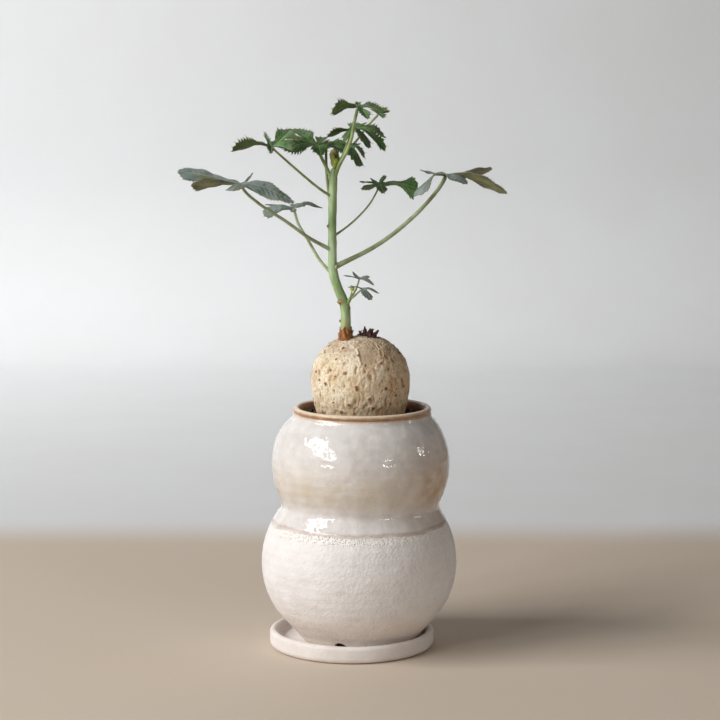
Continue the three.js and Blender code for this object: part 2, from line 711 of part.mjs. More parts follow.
// Thin closed blade: a star of lobes whose toothed strips share their sinus points
function bladeGeometry(leaf) {
  const centre = vector(leaf.stalk.at(-1));
  const lobes = leaf.lobes.map((numbers) => lobeFrom(numbers, leaf));
  const points = [centre];
  const faces = [];
  const rim = [0];
  const addPoint = (point) => points.push(point) - 1;
  for (let k = 1; k < lobes.length; k += 1) {
    while (lobes[k].turn < lobes[k - 1].turn) {
      lobes[k].turn += 2 * Math.PI;
    }
  }

  // Point where a lobe's left edge meets the right edge of the next, or an outer edge ends
  const sinusPoint = (lobe, next, outerSide) => {
    const sides = next ? [[lobe, 1], [next, -1]] : [[lobe, outerSide]];
    const halfTurn = next ? (next.turn - lobe.turn) / 2 : OUTER_HALF_TURN;
    const reach = SINUS * Math.min(...sides.map(([each]) => each.reach)) + 0.5;
    const heights = sides.map(([each, side]) => {
      const along = Math.max(0, (reach * Math.cos(halfTurn)) / each.reach);
      const outward = side * reach * Math.sin(halfTurn);
      return ribHeight(each, along) + outward * Math.sin(each.roll + each.fold * side);
    });
    const turn = lobe.turn + (next ? 1 : outerSide) * halfTurn;
    const height = heights.reduce((sum, each) => sum + each) / heights.length;
    const offset = new THREE.Vector3(Math.cos(turn) * reach, Math.sin(turn) * reach, height);
    return addPoint(centre.clone().add(offset));
  };

  let rightStart = sinusPoint(lobes[0], null, -1);
  lobes.forEach((lobe, index) => {
    const next = lobes[index + 1];
    const before = lobes[index - 1];
    const leftStart = next ? sinusPoint(lobe, next) : sinusPoint(lobe, null, 1);
    const halfTurns = {
      "-1": before ? (lobe.turn - before.turn) / 2 : Math.PI,
      1: next ? (next.turn - lobe.turn) / 2 : Math.PI,
    };
    const start = SINUS * 1.15;
    const rights = [rightStart];
    const middles = [addPoint(lobePoint(centre, lobe, start, 0))];
    const lefts = [leftStart];
    const stride = (1 - start) / (leaf.stations + 1);
    for (let station = 1; station <= leaf.stations; station += 1) {
      const along = start + stride * station;
      const edge = (side) => {
        const tooth = (station + (side > 0 ? 0 : 1)) % 2 === 0;
        const toothed = tooth ? 1 + leaf.teeth : 1 - leaf.teeth;
        const half = lobeHalfWidth(lobe, along, halfTurns[side]) * toothed;
        return lobePoint(centre, lobe, along + (tooth ? 0.3 * stride : -0.1 * stride), half * side);
      };
      rights.push(addPoint(edge(-1)));
      middles.push(addPoint(lobePoint(centre, lobe, along, 0)));
      lefts.push(addPoint(edge(1)));
    }
    const tip = addPoint(lobePoint(centre, lobe, 1, 0));
    faces.push([0, rights[0], middles[0]], [0, middles[0], lefts[0]]);
    for (let station = 0; station < leaf.stations; station += 1) {
      faces.push([rights[station], rights[station + 1], middles[station + 1]]);
      faces.push([rights[station], middles[station + 1], middles[station]]);
      faces.push([middles[station], middles[station + 1], lefts[station + 1]]);
      faces.push([middles[station], lefts[station + 1], lefts[station]]);
    }
    faces.push([rights.at(-1), tip, middles.at(-1)], [middles.at(-1), tip, lefts.at(-1)]);
    rim.push(...rights, tip, ...lefts.reverse());
    if (next) {
      rim.pop();
    }
    rightStart = leftStart;
  });
  return thickened(points, faces, rim);
}

// Solid sheet from an open surface: both faces alike, joined round the rim
function thickened(points, faces, rim) {
  const normals = points.map(() => new THREE.Vector3());
  for (const [a, b, c] of faces) {
    const across = points[b].clone().sub(points[a]);
    const normal = across.cross(points[c].clone().sub(points[a]));
    [a, b, c].forEach((corner) => normals[corner].add(normal));
  }
  const upper = points.map((point, i) => point.clone().addScaledVector(normals[i].normalize(), BLADE / 2));
  const lower = points.map((point, i) => point.clone().addScaledVector(normals[i], -BLADE / 2));
  const count = points.length;
  const index = [];
  for (const [a, b, c] of faces) {
    index.push(a, b, c, c + count, b + count, a + count);
  }
  rim.forEach((from, i) => {
    const to = rim[(i + 1) % rim.length];
    index.push(from, from + count, to + count, from, to + count, to);
  });
  const geometry = new THREE.BufferGeometry();
  geometry.setFromPoints([...upper, ...lower]);
  geometry.setIndex(index);
  return geometry;
}

// Leaf stalk, thicker at its root and ending just under the blade, or its room when it is grown
function stalkSolid(leaf, clearance = 0) {
  const endRadius = leaf.radius * 0.8;
  const end = leaf.stalk.at(-1).slice();
  end[2] -= BLADE / 2 + GAP + endRadius * 0.75;
  const line = [...leaf.stalk.slice(0, -1), end];
  const radiusAt = (along) => leaf.radius * (1 - 0.2 * along + 0.35 * Math.exp(-along * 14)) + clearance;
  return toSolid(bentRod(line, radiusAt, 6, 8));
}

const plant = new THREE.Group();

function addMesh(name, geometry, colour, roughness, group = plant) {
  const material = new THREE.MeshStandardMaterial({ color: colour, roughness, metalness: 0 });
  const mesh = new THREE.Mesh(geometry, material);
  mesh.name = name;
  group.add(mesh);
  return mesh;
}

const caudexRoom = caudexSolid(GAP);
const stemRoom = stemSolid(GAP);

addMesh("saucer", welded(saucerGeometry()), COLOURS.saucer, 0.85);
addMesh("pot", toGeometry(potSolid()), COLOURS.pot, 0.35);
addMesh("soil", toGeometry(soilSolid(caudexRoom)), COLOURS.soil, 0.95);
addMesh("drain_net", toGeometry(netSolid()), COLOURS.net, 0.6);
addMesh("caudex", toGeometry(caudexSolid(0)), COLOURS.caudex, 0.85);
addMesh("old_stump", toGeometry(stumpSolid(caudexRoom)), COLOURS.stump, 0.9);
addMesh("stem", toGeometry(stemWithScars(caudexRoom)), COLOURS.stem, 0.6);
addMesh("bark_collar", toGeometry(barkSolid(caudexRoom, stemRoom)), COLOURS.bark, 0.9);

const OLD_LEAVES = 4; // the leaves above these are young and greener
LEAVES.forEach((leaf, index) => {
  const group = new THREE.Group();
  const name = `leaf_${index + 1}`;
  const bladeColour = index < OLD_LEAVES ? COLOURS.oldBlade : COLOURS.youngBlade;
  addMesh(`${name}_stalk`, toGeometry(stalkSolid(leaf).subtract(stemRoom)), COLOURS.stalk, 0.6, group);
  addMesh(`${name}_blade`, bladeGeometry(leaf), bladeColour, 0.65, group);
  plant.add(group);
});

const shootAxis = toSolid(bentRod(SIDE_SHOOT.axis, () => SIDE_SHOOT.radius, 8, 4));
const shootStalks = SIDE_SHOOT.leaves.map((leaf) => stalkSolid(leaf));
const budStalk = toSolid(bentRod(SIDE_SHOOT.budStalk, () => SIDE_SHOOT.budStalkRadius, 6, 4));
const sideShoot = fused([shootAxis, ...shootStalks, budStalk]).subtract(stemRoom);
addMesh("side_shoot_stalks", toGeometry(sideShoot), COLOURS.stalk, 0.6);
SIDE_SHOOT.leaves.forEach((leaf, index) => {
  addMesh(`side_shoot_blade_${index + 1}`, bladeGeometry(leaf), COLOURS.oldBlade, 0.65);
});
const budWidth = (along) => SIDE_SHOOT.budRadius * Math.sin(Math.PI * (0.16 + 0.7 * along));
addMesh("side_shoot_bud", welded(bentRod(SIDE_SHOOT.bud, budWidth, 7, 4)), COLOURS.bud, 0.7);

const foldWidth = (along) => 0.5 + 0.75 * Math.sin(Math.PI * along) ** 0.7;
const youngLeaves = YOUNG_LEAVES.map((line) => toSolid(bentRod(line, foldWidth, 7, 9, 0.55)));
const tipBud = new THREE.SphereGeometry(1, 8, 6);
tipBud.scale(...TIP_BUD.radii);
tipBud.translate(...TIP_BUD.at);
const tipNeighbours = fused([stemRoom, ...LEAVES.slice(OLD_LEAVES).map((leaf) => stalkSolid(leaf, GAP))]);
const shootTip = fused([...youngLeaves, toSolid(tipBud)]).subtract(tipNeighbours);
addMesh("shoot_tip", toGeometry(shootTip), COLOURS.bud, 0.7);

export default plant;
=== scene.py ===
"""Potted jatropha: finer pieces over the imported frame, their looks, soft light and the photograph's view.

Points are in millimetres in the frame's own axes, and are scaled to metres where a mesh is made.
"""

import math
import random

import bpy
import numpy as np
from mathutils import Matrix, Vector, noise


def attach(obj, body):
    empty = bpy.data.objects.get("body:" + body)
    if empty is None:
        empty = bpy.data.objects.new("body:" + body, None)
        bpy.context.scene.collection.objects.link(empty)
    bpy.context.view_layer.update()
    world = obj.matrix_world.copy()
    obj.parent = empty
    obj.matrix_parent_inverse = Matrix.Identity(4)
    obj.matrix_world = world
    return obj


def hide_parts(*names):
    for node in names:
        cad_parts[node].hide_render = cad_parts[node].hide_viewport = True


MM = 0.001
FULL_TURN = 2 * math.pi
noise.seed_set(4)  # noise vectors would otherwise differ from run to run


def linked(name, data):
    """A new object in the scene."""
    made = bpy.data.objects.new(name, data)
    bpy.context.scene.collection.objects.link(made)
    return made


# Camera: as high as the plant's top, looking slightly down through a long lens

LENS = 107.5
CAMERA_PLACE = (0, -1.093, 0.285)
LOOKING_DOWN = 7.1

camera = linked("photo_camera", bpy.data.cameras.new("photo_camera"))
camera.data.lens = LENS
camera.data.sensor_width = 36
camera.data.clip_start = 0.05
camera.location = CAMERA_PLACE
camera.rotation_euler = (math.radians(90 - LOOKING_DOWN), 0, 0)
bpy.context.scene.camera = camera

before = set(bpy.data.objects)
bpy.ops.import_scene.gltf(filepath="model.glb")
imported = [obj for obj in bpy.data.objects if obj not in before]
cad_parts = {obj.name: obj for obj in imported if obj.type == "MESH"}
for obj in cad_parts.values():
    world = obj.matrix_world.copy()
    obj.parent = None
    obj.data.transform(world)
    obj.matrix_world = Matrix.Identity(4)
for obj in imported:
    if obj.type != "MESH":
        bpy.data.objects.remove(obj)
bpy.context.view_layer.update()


# Numbers shared with the solid part: millimetres, and turns in degrees

GAP = 0.3
NET_THICKNESS = 0.8
SOIL_TOP = 119.5
CAUDEX_X = 0.5

SAUCER = {"x": -4.3, "radius": 42.4, "height": 9, "floor": 4, "wall": 4, "corner": 3}

POT = {"base": SAUCER["floor"] + GAP, "footRadius": 29.5, "footHeight": 3, "footWall": 5, "flareTop": 16,
       "floor": 11.5, "insideFoot": 25.5, "wall": 4.5, "crease": 5, "neckRadius": 35.3, "cove": 1.5,
       "lipRadius": 35.7, "lipBead": 1.6, "height": 125, "mouthRadius": 32, "lowerX": -0.4, "upperX": 0.2,
       "lipX": 1.1, "waist": (66, 80), "neck": (108, 124), "drainRadius": 7, "notches": 3,
       "notchRadius": 4, "firstNotchTurn": -108}

LOWER_GLOBE = {"z": 44.5, "neck": 20.5, "bulge": 29.4, "half": 36.8}
UPPER_GLOBE = {"z": 95.5, "neck": 28, "bulge": 17.4, "half": 26.3}

CAUDEX_OUTLINE = [(0, 50), (3, 60), (5.5, 76), (8.5, 92), (14.5, 106), (20.3, 115.5), (22.6, 123),
                  (24.4, 132.5), (24.8, 140.5), (22.9, 148.5), (17.8, 155.2), (10.8, 159.6), (0, 161.8)]
STEM_LINE = [(-7.2, -3, 157.5), (-7.3, -3, 164), (-7.7, -3, 177), (-11.6, -2.5, 187), (-13.6, -2, 194),
             (-14.1, -1, 210), (-14.1, 0, 222), (-13.8, 0, 234), (-13.4, 0, 247)]


def leaf(radius, fold, teeth, stalk, *lobes):
    """A leaf's numbers. Each lobe has a turn, reach, rise, width, roll, bow and place of its belly."""
    return {"radius": radius, "fold": fold, "teeth": teeth, "stalk": stalk, "lobes": lobes}


LEAVES = [
    leaf(0.85, -6, 0.12, [(-13.2, -2.1, 192.4), (-20.1, 1.8, 199.5), (-27.1, 5.9, 210.8),
         (-31.9, 8.7, 218.9), (-33.8, 9.8, 226)],
         (20, 15, 0, 5, 20, 2.6, 0.27), (78, 12, 2, 7, 0, 0.6, 0.55), (146, 17.5, 1.6, 8, 0, 0.8, 0.62),
         (192, 16, -2.4, 9, -32, 1, 0.78), (258, 4, -1.6, 3.5, 0, 0.2, 0.4)),
    leaf(1.25, -6, 0.1, [(-13.7, -1.9, 196.3), (9.5, 3, 208), (27.2, 6.8, 221.7), (39.9, 9.5, 235.5),
         (44.2, 10.3, 242.8)],
         (218, 19, -9.6, 10, 10, 3.4, 0.86), (306, 15.5, -3.8, 9, 0, 1, 0.52),
         (0, 31, -9, 9, -35, 2.4, 0.64), (40, 31, 1.8, 11.5, -28, 0.6, 0.66),
         (132, 19, 2.2, 3.6, 0, 0, 0.4)),
    leaf(0.95, -6, 0.1, [(-14, -1.3, 205.1), (-25.8, -8.1, 212.1), (-37.1, -14.7, 220.7),
         (-48.2, -21, 228.4), (-55.9, -25.5, 235), (-58.9, -27.2, 239.4)],
         (72, 16, 5.4, 1.1, 0, 0, 0.4), (122, 17, 2.4, 8, 0, 0.8, 0.55),
         (169, 32, 6.8, 12, -28, 1.8, 0.74), (206, 26, 1, 10, 34, 1.2, 0.78),
         (250, 12, -2.2, 10, 0, 1, 0.5), (350, 26.5, -8.4, 12.5, 32, 1.6, 0.37)),
    leaf(0.6, -5, 0.14, [(-14.1, -0.9, 211.7), (-3.8, 8.8, 219), (5, 15.7, 228), (10.3, 19.6, 237.6)],
         (280, 9, -4, 5.5, 0, 0.4, 0.4), (353, 19.5, -2, 12.5, 50, 1.6, 0.86),
         (46, 14, 0.4, 7, 10, 0.6, 0.55), (74, 9, 4.4, 3, 0, 0.6, 0.6), (128, 7.5, 3, 2, 0, 0, 0.5),
         (170, 10.5, 1.6, 5.5, 0, 0.8, 0.52), (198, 10, -2.2, 5.5, -20, 0.6, 0.52)),
    leaf(0.9, 8, 0.2, [(-14.1, -0.2, 219.5), (-15.4, 5, 230), (-17.2, 8.5, 246), (-17.4, 11.8, 257.7)],
         (334, 14, -3.8, 6.5, 28, 1, 0.58), (22, 11, 1.6, 7.5, 20, 0.6, 0.6), (80, 9, 2, 6, 0, 0.4, 0.55),
         (148, 8, 1, 6, 0, 0.4, 0.55), (238, 7.5, -3.5, 7, 0, 0.6, 0.55)),
    leaf(0.7, 24, 0.24, [(-13.9, 0, 232), (-21, -4.1, 237), (-31.3, -10, 245.9), (-40.2, -15.2, 254.1),
         (-44.1, -17.4, 258)],
         (60, 16.5, 7.6, 12.5, 6, 0.6, 0.6), (106, 14, 6.6, 2, 0, 0.4, 0.4), (142, 11, 2, 4, 0, 0.3, 0.5),
         (188, 19.5, -2, 10, 34, 1.8, 0.76), (270, 7, -3, 4, 0, 0.2, 0.4),
         (320, 13.5, -1.6, 9, 20, 0.8, 0.6)),
    leaf(1, 14, 0.22, [(-13.5, 0, 240), (-17.2, 1.2, 247.5), (-20.2, 2.2, 253.5), (-21.8, 2.9, 258)],
         (34, 6.5, 2.4, 6, 0, 0.6, 0.5), (70, 9, 4, 8, 0, 0.6, 0.55), (128, 21, 8, 13, 0, 1.4, 0.6),
         (160, 19, 4.8, 12, -14, 1.4, 0.6), (196, 17.5, -1.6, 14, -40, 1.6, 0.6),
         (285, 8, -4.6, 9, 0, 0.8, 0.5)),
    leaf(1, 22, 0.2, [(-13.4, 0, 241), (-10.2, -3, 248.8), (-6.4, -5.8, 256), (-4, -7.9, 263),
         (-2.9, -8.8, 269.4), (-1.2, -10.2, 277.4)],
         (190, 13, -2.6, 9.5, 42, 1.1, 0.7), (302, 9.5, -5.6, 6.6, 0, 0.4, 0.62),
         (346, 13, -2.6, 7, 24, 1.4, 0.64), (36, 12.5, -0.4, 7, 20, 0.6, 0.66),
         (88, 9, 2.4, 2.4, 0, 0.4, 0.6)),
    leaf(0.85, 16, 0.24, [(-13.4, 0.3, 241.5), (-11.4, 2.4, 247), (-8.9, 3.6, 252.5), (-5.6, 5.2, 261),
         (-3.6, 6, 266)],
         (313, 11.5, -9, 9, -10, 2, 0.62), (346, 17, -10, 12, 34, 2.8, 0.68),
         (20, 17, -3.4, 12, 30, 1.8, 0.66), (64, 10, 2.8, 10, 0, 0.2, 0.6),
         (183, 13, -3.6, 8, 24, 0.5, 0.7), (232, 7, -5.8, 5, 0, 1, 0.6)),
    leaf(0.7, 20, 0.2, [(-13.6, 0.2, 240), (-13.4, 4.4, 246.5), (-6.5, 12, 255), (0, 16.5, 262.6),
         (4.5, 18.4, 268.4), (9.5, 19.5, 274)],
         (299, 5, -2, 4, 0, 0.3, 0.6), (10, 5.5, 1, 5, 0, 0.3, 0.6), (62, 7, 3, 4, 0, 0.3, 0.6),
         (122, 5, 2, 4, 0, 0.3, 0.6)),
    leaf(0.7, 10, 0.26, [(-13.3, 0, 244), (-11, 0, 248.5), (-8.4, 0.4, 252.6), (-5.2, 1.2, 257.3)],
         (316, 7, -9.6, 10, 0, 1.6, 0.64), (0, 7.5, -4.4, 8, 38, 1.6, 0.62),
         (46, 6, 1.6, 5, 0, 0.4, 0.5)),
]

SIDE_SHOOT = {
    "axis": [(-7.7, -3, 175.5), (-5.6, -4.4, 179.6), (-4.4, -5.2, 182)],
    "radius": 0.9,
    "leaves": [
        leaf(0.5, -4, 0.1, [(-4.6, -5, 181.4), (-2.3, -5.6, 185.3), (-1, -5.8, 188.7), (-0.4, -6, 191.2)],
             (346, 7.5, -3, 3.6, 20, 1, 0.5), (36, 6, 1, 4, 10, 0, 0.6), (122, 6, 3, 2, 0, 0, 0.5),
             (180, 8, 1.6, 2.4, 0, 0.6, 0.5)),
        leaf(0.5, -4, 0.1, [(-4.8, -5.2, 181), (-2.8, -8.4, 182.6), (-0.8, -10.6, 184.7),
             (0.9, -12.2, 186.5)],
             (308, 7, -5, 6, 0, 0.6, 0.55), (6, 8.5, -2.2, 3, 15, 1, 0.5), (58, 6, 0, 4, 0, 0.2, 0.5),
             (176, 6.8, 0.8, 2.6, 0, 1, 0.6)),
    ],
    "budStalk": [(-5, -5.4, 180.6), (-4.6, -7.2, 182.8), (-4.2, -8.1, 184.6)],
    "budStalkRadius": 0.45,
    "bud": [(-4.2, -8.3, 184.9), (-4, -8.5, 186.4), (-4.4, -8.7, 188)],
}

STEM_STUBS = [((-14, 0, 213.5), (-16.6, -1.2, 218.2), 0.75),
              ((-7.9, -3, 174.8), (-4.9, -3.6, 176.2), 0.9),
              ((-7.5, -3, 168.6), (-10.7, -3.4, 169.6), 0.7),
              ((-13, -2.6, 195.6), (-11.2, -4.2, 198.2), 0.7)]
YOUNG_LEAVES = [
    [(-12.9, -0.3, 248), (-13.8, -1.2, 250.6), (-14.2, -1.6, 254), (-12.8, -1.8, 256), (-11.6, -1.8, 253.6)],
    [(-12.6, -0.2, 248), (-11.8, 0.4, 251), (-11.9, 0.8, 253.6), (-11.4, 0.6, 255.6)],
]
TIP_BUD = {"at": (-12.9, -0.5, 249.2), "radii": (1.7, 1.5, 2.4)}
STUMP_SPIKES = [((2.5, 0, 160.5), (2.6, -0.8, 166.4), 1.9), ((4.5, -0.5, 160.5), (5.2, -1.2, 165.2), 2.2),
                ((6, 0.2, 160), (9.6, -0.4, 164.4), 1.9), ((1.6, -0.8, 160.8), (-0.6, -1.6, 164), 1.3),
                ((5.5, 1.5, 160.2), (6.5, 3.5, 164.6), 1.6)]
LEAF_SCAR = {"at": (-9.6, -4.2, 179), "radius": 2}


# Mesh tools

def smoothstep(value, low, high):
    share = np.clip((np.asarray(value, float) - low) / (high - low), 0, 1)
    return share * share * (3 - 2 * share)


def from_turn(turn, place):
    """How far one turn is from another, the short way round."""
    return (turn - place + 3 * math.pi) % FULL_TURN - math.pi


class Form:
    """A growing mesh: points, faces with a material slot each, and numbers kept at each point."""

    def __init__(self, points=(), faces=(), slot=0, **values):
        self.points, self.faces, self.slots, self.values = [], [], [], {}
        self.add(points, faces, slot, **values)

    def add(self, points, faces, slot=0, **values):
        start = len(self.points)
        self.points.extend(tuple(map(float, point)) for point in points)
        self.faces.extend(tuple(int(corner) + start for corner in face) for face in faces)
        self.slots.extend([slot] * len(faces) if isinstance(slot, int) else slot)
        for name, numbers in values.items():
            column = self.values.setdefault(name, [])
            column.extend([0.0] * (start - len(column)))
            column.extend(np.broadcast_to(numbers, len(points)).astype(float).tolist())

    def made(self, name, scale=1):
        """A new object in the scene with this mesh."""
        mesh = bpy.data.meshes.new(name)
        mesh.from_pydata([(x * scale, y * scale, z * scale) for x, y, z in self.points], [], self.faces)
        return linked(name, mesh)

    def reshaped(self, kind, tools=(), **settings):
        """This form after modifiers of one kind: one for each tool, which is another form, or just one."""
        target = self.made("target")
        helpers = [tool.made("tool") for tool in tools]
        for helper in helpers or [None]:
            step = target.modifiers.new("step", kind)
            if helper:
                step.object = helper
            for name, value in settings.items():
                setattr(step, name, value)
        mesh = target.evaluated_get(bpy.context.evaluated_depsgraph_get()).to_mesh()
        form = Form([vertex.co for vertex in mesh.vertices], [face.vertices for face in mesh.polygons])
        for used in (target, *helpers):
            bpy.data.objects.remove(used)
        return form

    def joined(self, operation, tools):
        return self.reshaped("BOOLEAN", tools, operation=operation, solver="EXACT")

    def grown_together(self, voxel):
        """Overlapping closed shapes turned into one skin of small quads."""
        return self.reshaped("REMESH", mode="VOXEL", voxel_size=voxel, adaptivity=0)


def piece(name, form, looks, nodes, sharp=60):
    """A finished object of the part: its mesh, its materials, and what it stands for."""
    made = form.made(name, MM)
    mesh = made.data
    for look in looks:
        mesh.materials.append(look)
    mesh.polygons.foreach_set("material_index", form.slots)
    for label, numbers in form.values.items():
        numbers = numbers + [0.0] * (len(form.points) - len(numbers))
        mesh.attributes.new(label, "FLOAT", "POINT").data.foreach_set("value", numbers)
    mesh.shade_smooth()
    mesh.set_sharp_from_angle(angle=math.radians(sharp))
    mesh.validate()
    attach(made, "root")
    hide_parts(*nodes)


def grid_faces(rows, columns, closed=False, flip=False, start=0):
    """Quads between rows of points, each row of that many columns, closed round or open."""
    faces = []
    for row in range(rows - 1):
        for column in range(columns if closed else columns - 1):
            here = start + row * columns + column
            beside = start + row * columns + (column + 1) % columns
            face = (here, beside, beside + columns, here + columns)
            faces.append(face[::-1] if flip else face)
    return faces


def capped_faces(rings, sides, flip=False):
    """Faces over rings of points that close at a point before the first ring and one after the last."""
    around = [(side, (side + 1) % sides) for side in range(sides)]
    end = 1 + rings * sides
    last = end - sides
    faces = [(0, 1 + after, 1 + side) for side, after in around]
    faces += grid_faces(rings, sides, closed=True, start=1)
    faces += [(last + side, last + after, end) for side, after in around]
    return [face[::-1] for face in faces] if flip else faces


def sheet_faces(faces, count):
    """Faces of a closed sheet and its open edge. Each point's twin on the back is count points later."""
    edges = dict.fromkeys(edge for face in faces for edge in zip(face, face[1:] + face[:1]))
    rim = [(start, end) for start, end in edges if (end, start) not in edges]
    back = [tuple(corner + count for corner in face[::-1]) for face in faces]
    return [*faces, *back, *[(end, start, start + count, end + count) for start, end in rim]], rim


def lathe(outline, sides):
    """Closed body of revolution: points and faces. The outline starts and ends on the axis."""
    turns = np.arange(sides) * FULL_TURN / sides
    points = [(0, 0, outline[0][1])]
    for radius, z in outline[1:-1]:
        points.extend(zip(radius * np.cos(turns), radius * np.sin(turns), np.full(sides, z)))
    points.append((0, 0, outline[-1][1]))
    return np.array(points), capped_faces(len(outline) - 2, sides)


def arc(centre, radius, start, stop, steps):
    """Points of an outline's round corner, angles in degrees."""
    turns = np.radians(np.linspace(start, stop, steps + 1))
    return [(centre[0] + radius * math.cos(turn), centre[1] + radius * math.sin(turn)) for turn in turns]


def spline_point(points, share):
    """Point of the uniform Catmull-Rom curve through the points, which the caudex's outline is."""
    place = (len(points) - 1) * share
    index = min(int(place), len(points) - 2)
    weight = place - index
    corners = [points[min(max(index + step, 0), len(points) - 1)] for step in (-1, 0, 1, 2)]
    before, start, end, after = [np.array(corner, float) for corner in corners]
    leaving, arriving = (end - before) / 2, (after - start) / 2
    return ((2 * start - 2 * end + leaving + arriving) * weight ** 3
            + (-3 * start + 3 * end - 2 * leaving - arriving) * weight ** 2 + leaving * weight + start)


def curve_points(points, count):
    """Evenly spaced points along the centripetal Catmull-Rom curve through the given ones."""
    knots = np.array(points, float)
    knots = np.vstack([2 * knots[0] - knots[1], knots, 2 * knots[-1] - knots[-2]])
    spans = len(knots) - 3
    dense = []
    for span in range(spans):
        before, start, end, after = corners = knots[span:span + 4]
        lead, gap, trail = [max(math.sqrt(np.linalg.norm(step)), 1e-4) for step in np.diff(corners, axis=0)]
        leaving = ((start - before) / lead - (end - before) / (lead + gap) + (end - start) / gap) * gap
        arriving = ((end - start) / gap - (after - start) / (gap + trail) + (after - end) / trail) * gap
        for share in np.linspace(0, 1, 40, endpoint=span == spans - 1):
            dense.append((2 * share ** 3 - 3 * share ** 2 + 1) * start
                         + (share ** 3 - 2 * share ** 2 + share) * leaving
                         + (3 * share ** 2 - 2 * share ** 3) * end + (share ** 3 - share ** 2) * arriving)
    dense = np.array(dense)
    lengths = np.concatenate([[0], np.cumsum(np.linalg.norm(np.diff(dense, axis=0), axis=1))])
    wanted = np.linspace(0, lengths[-1], count)
    return np.stack([np.interp(wanted, lengths, dense[:, axis]) for axis in range(3)], axis=1)


def frames_along(line, across=None):
    """Share of the way, point, heading and side direction along a line, turning as little as can be."""
    headings = np.gradient(line, axis=0)
    headings /= np.linalg.norm(headings, axis=1)[:, None]
    if across is None:
        across = (0, 1, 0) if abs(headings[0][1]) < 0.9 else (1, 0, 0)
    side = np.cross(headings[0], across)
    for step, (centre, heading) in enumerate(zip(line, headings)):
        side = side - heading * side.dot(heading)
        side /= np.linalg.norm(side)
        yield step / (len(line) - 1), centre, heading, side


def tube(line, radius_at, sides, relief=None):
    """Rod along a line of points. Radius and relief take the share of the way, relief the turn as well."""
    line = np.asarray(line, float)
    turns = np.arange(sides) * FULL_TURN / sides
    points = [line[0]]
    for share, centre, heading, side in frames_along(line):
        other = np.cross(heading, side)
        radius = radius_at(share)
        for turn in turns:
            grown = radius + (relief(share, turn) if relief else 0)
            points.append(centre + grown * (math.cos(turn) * side + math.sin(turn) * other))
    points.append(line[-1])
    return points, capped_faces(len(line), sides)


def rounded(radius_at, start, end):
    """The same radius along a rod, closing in over these shares of it at its start and its end."""
    def at(share):
        near = min(1, share / start, (1 - share) / end)
        return radius_at(share) * math.sqrt(max(0.02, 1 - (1 - near) ** 2))
    return at


def tapered(radius, start, loss):
    """Radius that falls along a rod from its start's share of the given one by the loss."""
    return lambda share: radius * (start - share * loss)


def pebble(at, size, draw):
    """One crumb: a small lumpy ball, flattened at random along its axes."""
    rings, sides = 5, 8
    seed = draw.uniform(0, 100)
    stretch = [draw.uniform(0.6, 1.2) for _ in range(3)]
    points = []
    for ring in range(rings + 1):
        polar = math.pi * ring / rings
        for side in range(1 if ring in (0, rings) else sides):
            turn = FULL_TURN * side / sides
            flat = math.sin(polar)
            unit = Vector((flat * math.cos(turn), flat * math.sin(turn), math.cos(polar)))
            grown = size * (1 + 0.35 * noise.noise(unit * 1.6 + Vector((seed, 0, 0))))
            points.append([at[axis] + unit[axis] * grown * stretch[axis] for axis in range(3)])
    return points, capped_faces(rings - 1, sides, flip=True)


# Material tools

def srgb(colour):
    """Linear colour from the 0 to 255 values of a screen colour."""
    shares = [value / 255 for value in colour]
    return (*[share / 12.92 if share <= 0.04045 else ((share + 0.055) / 1.055) ** 2.4 for share in shares], 1)


